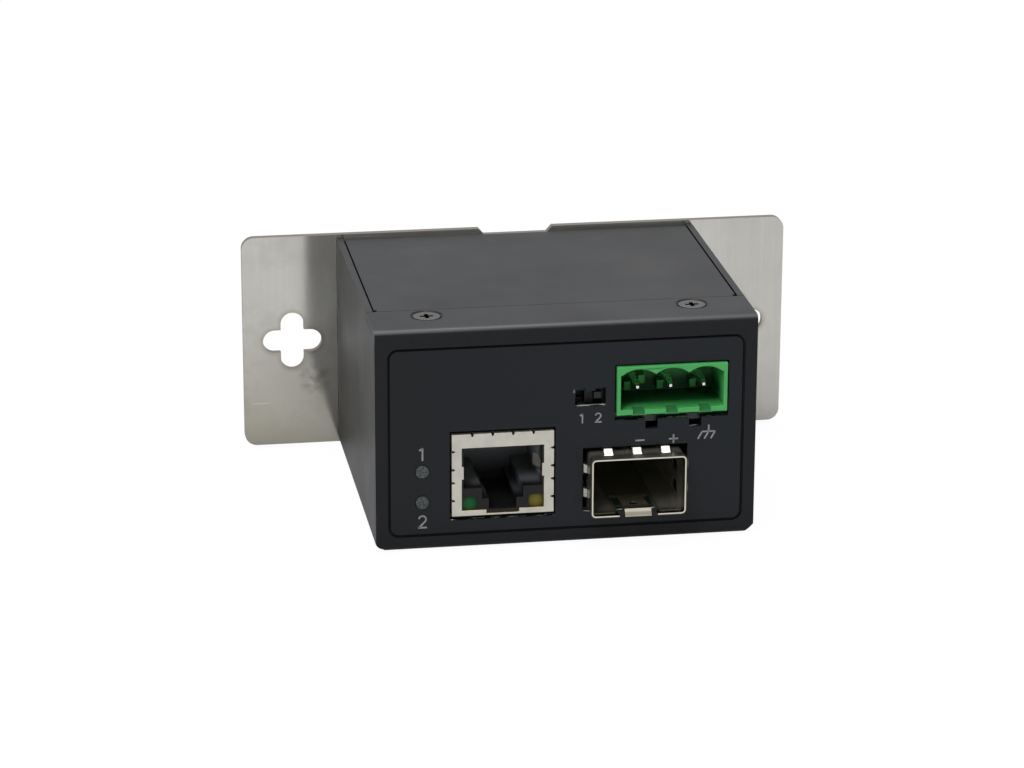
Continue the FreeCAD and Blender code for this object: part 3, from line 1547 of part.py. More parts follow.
def light_pipe(label, level, reach):
    """A light pipe: a round head in the panel, then a leg down to its lamp."""
    radius = s.pipe_radius
    leg_back = front + reach
    leg_front = leg_back - radius * 2
    foot = main_top + s.lamp_chip + s.lamp_clearance
    head_front = front - s.pipe_proud
    head = rod((s.pipe_x, head_front, level), "Y", radius, leg_front + s.pipe_join - head_front)
    body = new_body(f"Pipe{label}")
    pad(body, "YZ", about(s.pipe_x, radius), [[
        (leg_front, foot),
        (leg_back, foot),
        (leg_back, level - radius),
        (leg_front, level + radius),
    ]])
    node(f"light_pipe_{label}", join([head, body]))


def make_lamps():
    """The lamp under each light pipe."""
    for label, reach in (("low", s.pipe_low_reach), ("high", s.pipe_high_reach)):
        y = front + reach - s.pipe_radius
        middle = main_top + s.lamp_chip / 2
        place_on = (s.pipe_x, y)
        chip = block(place_on, s.lamp_base_width, s.lamp_base_depth, (main_top, middle))
        lens = (middle, main_top + s.lamp_chip)
        dome = block(place_on, s.lamp_dome_width, s.lamp_dome_depth, lens)
        node(f"lamp_{label}", join([chip, dome]))


def make_main_board():
    """The lower board, which carries the jack and the optics cage."""
    body = new_body("MainBoard")
    holes = [(x, y, s.shank_radius + s.board_hole_gap) for x, y in board_posts()]
    pad(body, "XY", (main_low, main_top), [
        rectangle((-board_half, board_half), (board_front, board_back)),
    ], holes)
    node("main_board", body)


def make_power_board():
    """The upper board, stepped round the jack, which carries the header and the switch."""
    body = new_body("PowerBoard")
    left = jack_across[1] + s.jack_side_gap
    holes = [(x, y, s.shank_radius + s.board_hole_gap) for x, y in board_posts()]
    pad(body, "XY", (power_low, power_top), [[
        (left, board_front),
        (board_half, board_front),
        (board_half, board_back),
        (-board_half, board_back),
        (-board_half, power_step),
        (left, power_step),
    ]], holes)
    slots = [rectangle(about(x, s.pin / 2), (pin_bend, pin_bend + s.pin)) for x in pin_places()]
    slots += [rectangle(*leg) for leg in switch_legs()]
    pocket(body, "XY", (power_low, power_top), slots)
    node("power_board", body)


def hexagon(centre, flats):
    """The corners of a hexagon with this width across its flats."""
    across = 1 / math.sqrt(3)
    x, y = centre
    reach = flats * across
    return [
        (x + reach, y),
        (x + reach / 2, y + flats / 2),
        (x - reach / 2, y + flats / 2),
        (x - reach, y),
        (x - reach / 2, y - flats / 2),
        (x + reach / 2, y - flats / 2),
    ]


def make_standoffs():
    """Two hexagonal threaded standoffs, welded to the floor under the main board."""
    standoffs = []
    for i, (x, y) in enumerate(board_posts()):
        body = new_body(f"Standoff{i}")
        bore = (x, y, stud_radius + s.thread_gap)
        pad(body, "XY", (s.steel, main_low), [hexagon((x, y), s.spacer_flats)], [bore])
        standoffs.append(body)
    node("standoffs", group(standoffs))


def make_spacers():
    """Two hexagonal spacers between the boards, each with a stud at its foot."""
    spacers = []
    for i, (x, y) in enumerate(board_posts()):
        body = new_body(f"Spacer{i}")
        pad(body, "XY", (main_top, power_low), [hexagon((x, y), s.spacer_flats)])
        bore_low = power_low - s.post_bore
        pocket(body, "XY", (bore_low, power_low), [], [(x, y, s.shank_radius + s.thread_gap)])
        pad(body, "XY", (main_low - s.stud_reach, main_top), [], [(x, y, stud_radius)])
        spacers.append(body)
    node("spacers", group(spacers))


def make_board_screws():
    """Two slotted screws on top of the power board."""
    screws = []
    for x, y in board_posts():
        head = rod((x, y, power_top), "Z", s.pan_radius, s.pan_height)
        shank = rod((x, y, power_top - s.post_screw), "Z", s.shank_radius, s.post_screw + s.pan_height / 2)
        level = power_top + s.pan_height
        depth = (level - s.drive_depth, level + OVERRUN)
        slot = block((x, y), s.pan_radius * 2, s.drive_width, depth)
        screws.append(cut(join([head, shank]), [slot]))
    node("board_screws", group(screws))


def make_capacitors():
    """Two upright cans on square bases on the power board, behind the header."""
    y = header_back + s.capacitor_behind + s.capacitor_radius
    left = s.header_x - s.capacitor_left
    side = s.capacitor_radius * 2
    can_low = power_top + s.capacitor_base
    can_top = s.box_height - s.steel - s.capacitor_gap
    for label, x in (("left", left), ("right", left + side + s.capacitor_apart)):
        base = block((x, y), side, side, (power_top, can_low))
        can = rod((x, y, can_low), "Z", s.capacitor_radius, can_top - can_low)
        node(f"capacitor_{label}", join([base, can]))


# Line of the inductor and the regulator, behind the capacitors
inductor_line = header_back + s.capacitor_radius * 2 + s.inductor_behind


def make_inductor():
    """The shielded power inductor on the power board."""
    width = s.inductor_width
    x, y = s.header_x - s.inductor_left, inductor_line
    top = power_top + s.inductor_height
    well_radius = width / 2 - s.inductor_rim
    well = rod((x, y, top - s.inductor_well), "Z", well_radius, s.inductor_well + OVERRUN)
    node("power_inductor", cut(block((x, y), width, width, (power_top, top)), [well]))


def make_regulator():
    """The regulator chip beside the inductor, with its tab and two legs."""
    x, y = s.header_x - s.regulator_left, inductor_line
    half = s.regulator_depth / 2
    levels = (power_top + s.regulator_stand, power_top + s.regulator_height)
    thin = (power_top, power_top + s.tab_thickness)
    body = block((x, y), s.regulator_width, s.regulator_depth, levels)
    tab = box(about(x, s.regulator_tab_width / 2), (y, y + half + s.regulator_tab), thin)
    legs = [
        box(
            about(x + s.regulator_leg_pitch * side, s.regulator_leg_width / 2),
            (y - half - s.regulator_leg, y - half + s.lead_root),
            thin,
        )
        for side in (-0.5, 0.5)
    ]
    node("regulator_chip", join([body, tab] + legs))


def make_fuse():
    """The square surface fuse at the power board's left."""
    centre = (s.fuse_from_post - post_x, power_step + s.fuse_behind)
    x, y = centre
    less = s.fuse_less
    body = block(
        centre,
        s.fuse_length - s.fuse_cap,
        s.fuse_width - less * 2,
        (power_top, power_top + s.fuse_height - less),
    )
    half = s.fuse_length / 2
    ends = [
        box(span, about(y, s.fuse_width / 2), (power_top, power_top + s.fuse_height))
        for span in ((x - half, x - half + s.fuse_cap), (x + half - s.fuse_cap, x + half))
    ]
    node("input_fuse", join([body] + ends))


def make_surge_diodes():
    """Two surge diodes beside the fuse."""
    diodes = []
    levels = (power_top + s.diode_stand, power_top + s.diode_height)
    for i in (0, 1):
        centre = (s.fuse_from_post - post_x, power_step + s.diode_behind + s.diode_pitch * i)
        body = block(centre, s.diode_length, s.diode_width, levels)
        leads = block(
            centre,
            s.diode_leads,
            s.diode_lead_width,
            (power_top, power_top + s.diode_lead_height),
        )
        diodes.append(join([body, leads]))
    node("surge_diodes", group(diodes))


def make_controller():
    """The controller chip: a flat body with a row of leads on its left and right."""
    x, y = s.jack_x + s.chip_shift, board_back - s.chip_from_back
    half = s.chip_width / 2
    low = main_top + s.chip_stand
    body = block((x, y), s.chip_width, s.chip_width, (low, low + s.chip_height))
    leads = []
    count = int(round(s.lead_count.value))
    pitch = (s.chip_width - s.chip_margin) / (count - 1)
    level = (main_top, main_top + s.lead_thin)
    inner, outer = half - s.lead_root, half + s.lead_length
    for i in range(count):
        along = about(y + pitch * (i - (count - 1) / 2), s.lead_width / 2)
        leads.append(box((x + inner, x + outer), along, level))
        leads.append(box((x - outer, x - inner), along, level))
    node("controller_chip", join([body] + leads))


def make_transformer():
    """The network transformer behind the jack."""
    x, y = s.jack_x, jack_back + s.transformer_behind
    half = s.transformer_depth / 2
    body = block(
        (x, y),
        s.transformer_width,
        s.transformer_depth,
        (main_top + s.transformer_stand, main_top + s.transformer_height),
    )
    level = (main_top, main_top + s.transformer_leg_thin)
    inner, outer = half - s.lead_root, half + s.transformer_leg
    legs = []
    count = int(round(s.transformer_legs.value))
    for i in range(count):
        across = about(x + s.leg_pitch * (i - (count - 1) / 2), s.transformer_leg_width / 2)
        legs.append(box(across, (y + inner, y + outer), level))
        legs.append(box(across, (y - outer, y - inner), level))
    node("network_transformer", join([body] + legs))


def make_crystal():
    """The crystal's metal can, with rounded ends."""
    body = new_body("Crystal")
    centre = (s.pipe_x + s.crystal_shift, jack_back - s.crystal_before)
    pad(body, "XY", (main_top, main_top + s.crystal_height), [
        stadium(centre, "up", s.crystal_length / 2, s.crystal_width / 2),
    ])
    node("crystal", body)


def make_memory():
    """The small memory chip near the controller."""
    x, y = s.cage_x + s.memory_right, back - s.memory_from_back
    levels = (main_top + s.chip_stand, main_top + s.memory_height)
    body = block((x, y), s.memory_width, s.memory_depth, levels)
    count = int(round(s.memory_rows.value))
    level = (main_top, main_top + s.lead_thin)
    legs = [
        block(
            (x, y + s.leg_pitch * (i - (count - 1) / 2)),
            s.memory_leads,
            s.memory_lead_width,
            level,
        )
        for i in range(count)
    ]
    node("memory_chip", join([body] + legs))


# The pins that join the two boards
link_x = post_x - s.link_shift
link_socket_low = main_top + s.link_strip_height + s.link_gap


def link_places():
    """Where the pins stand that join the two boards."""
    count = int(round(s.link_count.value))
    first = board_posts()[0][1] + s.link_from_post
    return [first + s.link_pitch * i for i in range(count)]


def make_board_link():
    """The pin strip on the main board, its pins and the socket under the power board."""
    places = link_places()
    half = s.link_pitch / 2
    span = (places[0] - half, places[-1] + half)
    across = about(link_x, half)
    strip = box(across, span, (main_top, main_top + s.link_strip_height))
    socket = box(across, span, (link_socket_low, power_low))
    square = s.link_pin / 2
    pins, strip_holes, socket_holes = [], [], []
    pin_top = link_socket_low + s.link_depth
    for y in places:
        across_pin, along_pin = about(link_x, square), about(y, square)
        pins.append(box(across_pin, along_pin, (main_top, pin_top)))
        strip_holes.append(box(across_pin, along_pin, (main_top, main_top + s.link_strip_height)))
        socket_holes.append(box(
            about(link_x, square + s.link_slip),
            about(y, square + s.link_slip),
            (link_socket_low, pin_top + s.link_end),
        ))
    node("link_strip", cut(strip, strip_holes))
    node("link_socket", cut(socket, socket_holes))
    node("link_pins", group(pins))


def build():
    make_chassis()
    make_cover()
    make_cover_nuts()
    make_plate_nuts()
    make_cover_screws()
    make_plate_screws()
    make_mounting_plate()
    make_label()
    make_jack_shield()
    make_jack_housing()
    make_jack_lamps()
    make_jack_contacts()
    make_cage()
    make_spring_collar()
    make_optics_socket()
    make_socket_contacts()
    make_header()
    make_power_pins()
    make_switch_case()
    make_switch_base()
    make_sliders()
    make_switch_pins()
    light_pipe("low", s.pipe_low, s.pipe_low_reach)
    light_pipe("high", s.pipe_high, s.pipe_high_reach)
    make_lamps()
    make_main_board()
    make_power_board()
    make_standoffs()
    make_spacers()
    make_board_screws()
    make_capacitors()
    make_inductor()
    make_regulator()
    make_fuse()
    make_surge_diodes()
    make_controller()
    make_transformer()
    make_crystal()
    make_memory()
    make_board_link()


def check_and_write():
    """Stop at any failed feature or bad shape, then write each piece to its file."""
    doc.recompute()
    for item in doc.Objects:
        if "Invalid" in item.State or "Error" in item.State:
            raise RuntimeError(f"{item.Name} ({item.Label}) failed")
    os.makedirs("parts", exist_ok=True)
    for solid in NODES:
        if solid.Shape.isNull() or not solid.Shape.isValid():
            raise RuntimeError(f"{solid.Label} has no valid shape")
        solid.Shape.exportStep(f"parts/{solid.Label}.step")
        print(f"{solid.Label}: {len(solid.Shape.Solids)} solids, {solid.Shape.Volume:.1f} mm3")


build()
check_and_write()
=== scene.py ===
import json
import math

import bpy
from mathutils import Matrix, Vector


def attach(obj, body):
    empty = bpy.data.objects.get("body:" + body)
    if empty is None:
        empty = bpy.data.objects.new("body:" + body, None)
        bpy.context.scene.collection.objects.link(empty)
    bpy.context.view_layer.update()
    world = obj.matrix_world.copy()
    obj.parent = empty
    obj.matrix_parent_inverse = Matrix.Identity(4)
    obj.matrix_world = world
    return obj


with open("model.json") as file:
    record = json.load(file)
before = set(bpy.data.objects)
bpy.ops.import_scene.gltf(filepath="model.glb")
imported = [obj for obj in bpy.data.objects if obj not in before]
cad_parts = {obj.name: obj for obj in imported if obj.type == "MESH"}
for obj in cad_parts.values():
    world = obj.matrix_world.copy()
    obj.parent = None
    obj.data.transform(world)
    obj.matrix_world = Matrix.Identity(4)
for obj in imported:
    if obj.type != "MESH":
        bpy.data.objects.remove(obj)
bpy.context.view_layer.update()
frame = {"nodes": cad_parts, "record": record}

# A small black steel network converter on a stainless wall plate.
# The CAD nodes give every shape; this script gives them their finishes, the print on
# the front, the floor, the light and the camera. Metres, in the CAD's own frame:
# the front panel faces -Y, +X is to its right and +Z is up.

MM = 0.001
WHITE = (1.0, 1.0, 1.0)
nodes = frame["nodes"]

# Places on the part that its finishes follow, in millimetres. A pair is the lowest and
# the highest value of a stretch, or the X and Z of a point of the front.

# The steel panel: its sheet, the heights between which its openings' lower edges are
# chipped, and the bend from the panel to the lip, along which a highlight is painted
PANEL_FRONT = -24.75
PANEL_SHEET = (-24.80, -23.9)
CHIPPED_UP = (3.0, 22.6)
BEND_ALONG = (-24.45, -24.0)
BEND_UP = (33.7, 34.7)

# The front label: its face, its rounded outline, the painted shade along its edge within that
# outline, the stretch over which it gets lighter to the right, and its worn corner at the switch
LABEL_FACE = -24.70
LABEL_MIDDLE = (0.0, 17.05)
LABEL_HALF = (26.95, 14.7)
LABEL_CORNER = 1.4
LABEL_GAP_SHADE = (LABEL_CORNER - 0.26, LABEL_CORNER - 0.14)
LABEL_FADE = (-27.0, 10.0)
WORN_ACROSS = (1.0, 1.6)
WORN_UP = (23.9, 24.4)

# The jack: its shield's cut edge, the depth of the shield's nicks, the opening, the depth
# and height over which the housing gets lighter, and the middles of its two light guides
SHIELD_FRONT = -25.05
SHIELD_EDGE = (SHIELD_FRONT + 0.03, SHIELD_FRONT + 0.25)
NICK_DEPTH = (SHIELD_FRONT + 0.3, SHIELD_FRONT + 0.5)
PORT_ACROSS = (-16.1, -3.4)
PORT_UP = (5.4, 16.05)
JACK_DEPTH = (PANEL_FRONT + 1.0, PANEL_FRONT + 4.0)
JACK_UP = (7.0, 13.0)
GREEN_GUIDE = (-14.8, 7.1)
YELLOW_GUIDE = (-4.7, 7.1)

# The light pipes: the width of a grain of their frosted ends
FROST_GRAIN = 0.16

# The optics cage: its rim, the step behind the rim, the depth over which it gets less
# metallic, its latch tongue with the tongue's bend and tip, and the rounded outline of
# the spring collar over its mouth, within which the collar's front edge has painted shade
CAGE_MOUTH = -28.25
CAGE_RIM = (CAGE_MOUTH + 0.1, CAGE_MOUTH + 1.0)
CAGE_STEP = (CAGE_MOUTH + 1.0, CAGE_MOUTH + 1.2)
CAGE_DEPTH = (CAGE_MOUTH + 0.8, CAGE_MOUTH + 3.0)
LATCH_BEND = (CAGE_MOUTH + 0.85, CAGE_MOUTH + 1.0)
LATCH_ACROSS = (7.0, 14.0)
LATCH_TOP = (6.2, 6.4)
LATCH_TIP = (5.05, 5.4)
COLLAR_MIDDLE = (10.5, 9.6)
COLLAR_HALF = (7.32, 4.72)
COLLAR_CORNER = 0.77
COLLAR_EDGE_SHADE = (COLLAR_CORNER - 0.16, COLLAR_CORNER - 0.10)

# The power header: its middle, the depth over which its cavity gets darker, the heights
# over which it gets lighter again, the front faces of its ribs, and its three ramps,
# given by their spacing, their half width and their upper edge
HEADER_MIDDLE = 15.98
HEADER_DEPTH = (PANEL_FRONT, PANEL_FRONT + 3.4)
HEADER_UP = (22.5, 24.5)
HEADER_RIBS = (-18.35, -18.15)
RAMP_PITCH = 5.08
RAMP_HALF = (0.80, 0.88)
RAMP_TOP = (20.75, 20.85)

# The screws: the faces of those in the lip and in the plate, and the depths below its
# face at which a screw's recess is fully dark and at which it begins to darken
LIP_SCREW_FACE = 34.7
PLATE_SCREW_FACE = 25.85
RECESS_DEPTH = (0.12, 0.03)

# The mounting plate: the stretches over which it is stained and darkened by painted shade,
# the slots of its two cross holes, and the marks on its left ear
STAIN_AND_SHADE_ACROSS = (-44.0, 30.0)
STAINED_UP = (8.0, 26.0)
LOW_SHADE_UP = (0.0, 22.0)
HOLE_SPACING = 36.3
HOLE_HEIGHT = 17.9
HOLE_STRAIGHT = 2.875
HOLE_RADIUS = 1.875
SMUDGE = (-32.8, 11.3)
SCRATCH_ACROSS = (-42.5, -40.5)
SCRATCH_UP = (7.7, 7.8)

# Rounding of the folded and moulded edges, and whether it is kept from overlapping
SOFTENED = {
    "chassis": (0.08, True),
    "cover": (0.08, False),
    "jack_shield": (0.04, False),
    "power_header": (0.10, False),
    "front_label": (0.03, False),
}

# The print: how far it stands out of the label and reaches into it, and how wide its
# strokes are
PRINT_THICKNESS = 0.02
PRINT_SINK = 0.03
LAMP_STROKE = 0.26
SMALL_STROKE = 0.22
SIGN_STROKE = 0.24

# The studio, in metres and watts: each lamp has a place, a size and a power
FLOOR_SIZE = 6.0
FLOOR_DROP = 0.0002
LAMP_TARGET = (0.0, 0.0, 0.02)
LAMPS = {
    "key": ((-0.5, -0.7, 1.0), 0.5, 9.4),
    "overhead": ((0.0, 0.12, 1.1), 0.55, 9.4),
}

# The photograph's camera: its axes, its place in millimetres, and its lens
CAMERA_RIGHT = (0.987609, -0.156902, 0.003205)
CAMERA_UP = (0.047286, 0.316989, 0.94725)
CAMERA_FORWARD = (0.149641, 0.935361, -0.32048)
CAMERA_PLACE = (-91.8986, -546.7809, 204.6078)
CAMERA_LENS = 131.536


class Tree:
    """A shader node tree, with short ways to add to it."""

    def __init__(self, tree):
        self.tree = tree

    def feed(self, socket, value):
        """Give an input a plain value or another node's output."""
        if isinstance(value, bpy.types.NodeSocket):
            self.tree.links.new(value, socket)
        elif socket.type == "RGBA" and len(value) == 3:
            socket.default_value = (*value, 1.0)
        else:
            socket.default_value = value

    def node(self, kind, inputs=None, **settings):
        """A new node with its settings, and its inputs by name or number."""
        made = self.tree.nodes.new(kind)
        for name, value in settings.items():
            setattr(made, name, value)
        for name, value in (inputs or {}).items():
            self.feed(made.inputs[name], value)
        return made

    def maths(self, operation, first, second=0.0):
        """One operation on two values, or on the first where it takes only one."""
        made = self.node("ShaderNodeMath", {0: first, 1: second}, operation=operation)
        return made.outputs["Value"]

    def times(self, first, *others):
        """The product of some values."""
        for other in others:
            first = self.maths("MULTIPLY", first, other)
        return first

    def plus(self, first, second):
        return self.maths("ADD", first, second)

    def minus(self, first, second):
        return self.maths("SUBTRACT", first, second)

    def absolute(self, value):
        return self.maths("ABSOLUTE", value)

    def lower(self, first, second):
        return self.maths("MINIMUM", first, second)

    def higher(self, first, second):
        return self.maths("MAXIMUM", first, second)

    def squares(self, first, second):
        """The sum of the squares of two values."""
        return self.plus(self.times(first, first), self.times(second, second))

    def spread(self, value, low, high, to_low=0.0, to_high=1.0):
        """The value's stretch from low to high, mapped and clamped to another."""
        made = self.node("ShaderNodeMapRange", {
            "Value": value, "From Min": low, "From Max": high,
            "To Min": to_low, "To Max": to_high,
        })
        return made.outputs["Result"]

    def within(self, value, low, high, soft):
        """1 where the value lies between low and high, falling to 0 over soft beyond each."""
        rising = self.spread(value, low - soft, low)
        falling = self.spread(value, high, high + soft, 1.0, 0.0)
        return self.times(rising, falling)

    def axis(self, vector, name):
        """One axis of a vector."""
        return self.node("ShaderNodeSeparateXYZ", {"Vector": vector}).outputs[name]

    def mix(self, share, first, second):
        """A colour between two, by a share from 0 to 1."""
        inputs = {"Factor": share, "A": first, "B": second}
        return self.node("ShaderNodeMix", inputs, data_type="RGBA").outputs["Result"]

    def blend(self, share, first, second):
        """A shader between two, by a share from 0 to 1."""
        made = self.node("ShaderNodeMixShader", {0: share, 1: first, 2: second})
        return made.outputs["Shader"]


class Look(Tree):
    """A procedural material in the making, which measures in millimetres."""

    def __init__(self, name):
        self.material = bpy.data.materials.new(name)
        self.material.use_nodes = True
        super().__init__(self.material.node_tree)
        self.shader = self.tree.nodes["Principled BSDF"]

    def give(self, **sockets):
        """Set the shader's own sockets, each to a plain value or to another node's output."""
        for name, value in sockets.items():
            title = name.replace("_", " ").title().replace("Ior", "IOR")
            self.feed(self.shader.inputs[title], value)
        return self

    def paint(self, share, colour):
        """Lay another colour over the base colour, by a share from 0 to 1."""
        under = self.shader.inputs["Base Color"].links[0].from_socket
        return self.give(base_color=self.mix(share, under, colour))

    def place(self, stretch=(1, 1, 1)):
        """The object's own coordinates, stretched along each axis."""
        coordinates = self.node("ShaderNodeTexCoord").outputs["Object"]
        scale = tuple(1 / (MM * way) for way in stretch)
        made = self.node("ShaderNodeMapping", {"Vector": coordinates, "Scale": scale})
        return made.outputs["Vector"]

    def at(self, name):
        """One axis of the place."""
        return self.axis(self.place(), name)

    def facing(self, name):
        """One axis of the true normal."""
        geometry = self.node("ShaderNodeNewGeometry")
        return self.axis(geometry.outputs["True Normal"], name)

    def forward(self):
        """1 on the faces that look to the front, and 0 on the others."""
        return self.spread(self.facing("Y"), -0.9, -0.5, 1.0, 0.0)

    def edgewise(self):
        """1 on the faces that look neither to the front nor to the back."""
        return self.spread(self.absolute(self.facing("Y")), 0.5, 0.9, 1.0, 0.0)

    def noise(self, size, detail=3.0, stretch=(1, 1, 1), roughness=0.55, offset=0.0):
        """Noise whose lumps are about this size, from 0 to 1."""
        made = self.node("ShaderNodeTexNoise", {
            "Vector": self.place(stretch), "W": offset, "Scale": 1.0 / size,
            "Detail": detail, "Roughness": roughness,
        }, noise_dimensions="4D")
        return made.outputs["Fac"]

    def bump(self, height, depth, strength):
        """Normals of a relief of the given depth."""
        made = self.node("ShaderNodeBump", {
            "Height": height, "Distance": depth * MM, "Strength": strength,
        })
        return made.outputs["Normal"]

    def square_from(self, point):
        """The square of the distance from a point of the front."""
        return self.squares(*(self.minus(self.at(name), way) for name, way in zip("XZ", point)))

    def reach(self, middle, half, corner):
        """How far a place lies beyond a rounded rectangle's outline, counted from its
        corners' centres: the corner radius is the outline itself."""
        beyond = [
            self.minus(self.absolute(self.minus(self.at(name), centre)), extent - corner)
            for name, centre, extent in zip("XZ", middle, half)
        ]
        outside = self.maths("SQRT", self.squares(*(self.higher(way, 0.0) for way in beyond)))
        inside = self.lower(self.higher(*beyond), 0.0)
        return self.plus(outside, inside)


def black_paint():
    """Satin black paint on sheet steel, chipped along the openings' lower cut edges, with a
    painted highlight along the bend at the top of the panel.
    """
    look = Look("black_paint")
    grain = look.noise(0.16, detail=2.0)
    shade = look.spread(grain, 0.35, 0.65)
    look.give(
        base_color=look.mix(shade, (0.0065, 0.0072, 0.0088), (0.0105, 0.0112, 0.0130)),
        roughness=look.spread(look.noise(14.0, detail=4.0), 0.3, 0.7, 0.40, 0.48),
        specular_ior_level=0.18,
        normal=look.bump(grain, 0.012, 0.6),
    )
    along, height = look.at("Y"), look.at("Z")
    spots = look.noise(0.9, detail=4.0, stretch=(1.8, 0.8, 0.8))
    look.paint(look.times(
        look.spread(look.facing("Z"), 0.85, 0.95),
        look.spread(spots, 0.50, 0.55),
        look.within(along, *PANEL_SHEET, 0.1),
        look.within(height, *CHIPPED_UP, 0.2),
    ), (0.60, 0.60, 0.58))
    # The bend at the top of the panel is painted lighter: a painted highlight
    bend = look.times(look.within(along, *BEND_ALONG, 0.25), look.within(height, *BEND_UP, 0.2))
    return look.paint(look.times(bend, 0.9), (0.085, 0.088, 0.093))


def label_film():
    """The label's film, darker to its left, with painted shade along its edge, and worn at one
    corner.
    """
    look = Look("label_film")
    grain = look.noise(0.12, detail=2.0)
    shade = look.spread(grain, 0.3, 0.7)
    reach = look.reach(LABEL_MIDDLE, LABEL_HALF, LABEL_CORNER)
    gap_shade = look.spread(reach, *LABEL_GAP_SHADE)
    look.give(
        base_color=look.mix(shade, (0.0062, 0.0086, 0.0120), (0.0094, 0.0122, 0.0162)),
        roughness=look.spread(look.noise(9.0), 0.3, 0.7, 0.36, 0.44),
        specular_ior_level=look.spread(gap_shade, 0.0, 1.0, 0.22, 0.06),
        normal=look.bump(grain, 0.008, 0.5),
    )
    across, height = look.at("X"), look.at("Z")
    look.paint(look.spread(across, *LABEL_FADE, 0.45, 0.0), (0.0030, 0.0038, 0.0052))
    # Painted shade along the label's edge, widening the dark gap round it
    look.paint(gap_shade, (0.0006, 0.0007, 0.0009))
    worn = look.times(
        look.within(across, *WORN_ACROSS, 0.15),
        look.within(height, *WORN_UP, 0.15),
        look.spread(look.noise(0.5), 0.40, 0.50),
    )
    return look.paint(worn, (0.15, 0.15, 0.147))


def stainless():
    """Stainless sheet: an upright grain, stains, painted shade towards the bottom, a pressed rim
    round each hole, cut edges.
    """
    look = Look("stainless")
    streaks = look.noise(0.5, detail=5.0, stretch=(0.35, 1, 26), roughness=0.65)
    fine = look.noise(0.12, stretch=(0.5, 1, 40))
    cloud = look.noise(11.0, detail=5.0, stretch=(1, 1, 1.5), roughness=0.6)
    shade = look.spread(look.plus(look.times(streaks, 0.35), look.times(cloud, 0.65)), 0.36, 0.64)
    look.give(base_color=look.mix(shade, (0.51, 0.497, 0.462), (0.62, 0.613, 0.585)))
    across, height = look.at("X"), look.at("Z")

    # Handling stains, most of them low on the sheet and on its left
    spots = look.noise(5.5, detail=5.0, roughness=0.65, offset=3.0)
    stain_and_shade = look.spread(across, *STAIN_AND_SHADE_ACROSS, 1.0, 0.1)
    stained = look.times(
        look.spread(spots, 0.48, 0.68), look.spread(height, *STAINED_UP, 0.65, 0.25), stain_and_shade,
    )
    look.paint(stained, (0.31, 0.29, 0.235))
    # Painted shade: the sheet is darker towards the bottom and on its left, for the shaded floor
    # it reflects
    low_shade = look.times(look.spread(height, *LOW_SHADE_UP, 1.0, 0.0), stain_and_shade)
    look.paint(low_shade, (0.33, 0.315, 0.26))

    # A rubbed smudge and a scratch on the left ear
    near = look.spread(look.square_from(SMUDGE), 0.5, 9.0, 0.7, 0.0)
    look.paint(look.times(near, look.spread(look.noise(1.3), 0.40, 0.58)), (0.24, 0.225, 0.185))
    wavering = look.plus(height, look.times(look.noise(3.0), 0.5))
    scratch = look.times(
        look.within(across, *SCRATCH_ACROSS, 0.8), look.within(wavering, *SCRATCH_UP, 0.06), 0.3,
    )
    look.paint(scratch, (0.78, 0.77, 0.74))

    # The rim that the punch left round each cross hole, measured from its two slots
    aside = look.absolute(look.minus(look.absolute(across), HOLE_SPACING))
    above = look.absolute(look.minus(height, HOLE_HEIGHT))
    slots = []
    for along, beside in ((aside, above), (above, aside)):
        beyond = look.higher(look.minus(along, HOLE_STRAIGHT), 0.0)
        slots.append(look.minus(look.maths("SQRT", look.squares(beyond, beside)), HOLE_RADIUS))
    look.paint(look.spread(look.lower(*slots), 0.15, 0.75, 0.5, 0.0), (0.33, 0.30, 0.24))

    # Sheared edges, duller than the faces
    edge = look.edgewise()
    look.paint(edge, look.mix(fine, (0.10, 0.088, 0.075), (0.24, 0.215, 0.19)))
    return look.give(
        metallic=0.85,
        roughness=look.higher(look.spread(cloud, 0.32, 0.68, 0.07, 0.13), look.times(edge, 0.45)),
        normal=look.bump(fine, 0.0002, 0.3),
    )


def shield_metal():
    """Matte plated sheet whose cut edges in the opening show the brass under the plating."""
    look = Look("shield_metal")
    cloud = look.noise(2.0, detail=5.0)
    shade = look.spread(cloud, 0.35, 0.65)
    look.give(base_color=look.mix(shade, (0.51, 0.49, 0.44), (0.585, 0.565, 0.51)))
    along = look.at("Y")
    sheet = look.within(along, *SHIELD_EDGE, 0.02)
    inside = look.times(
        look.within(look.at("X"), *PORT_ACROSS, 0.05), look.within(look.at("Z"), *PORT_UP, 0.05),
    )
    look.paint(look.times(look.edgewise(), sheet, inside), (0.95, 0.62, 0.16))
    # The nicks' back walls lie in the shade of the fold
    behind = look.spread(along, *NICK_DEPTH)
    look.paint(look.times(behind, look.forward()), (0.03, 0.03, 0.028))
    # The ground fingers, deep in the opening, are dull
    return look.give(
        metallic=look.minus(1.0, look.times(behind, inside, 0.7)),
        roughness=look.spread(cloud, 0.3, 0.7, 0.42, 0.55),
        normal=look.bump(look.noise(0.25), 0.004, 0.5),
    )


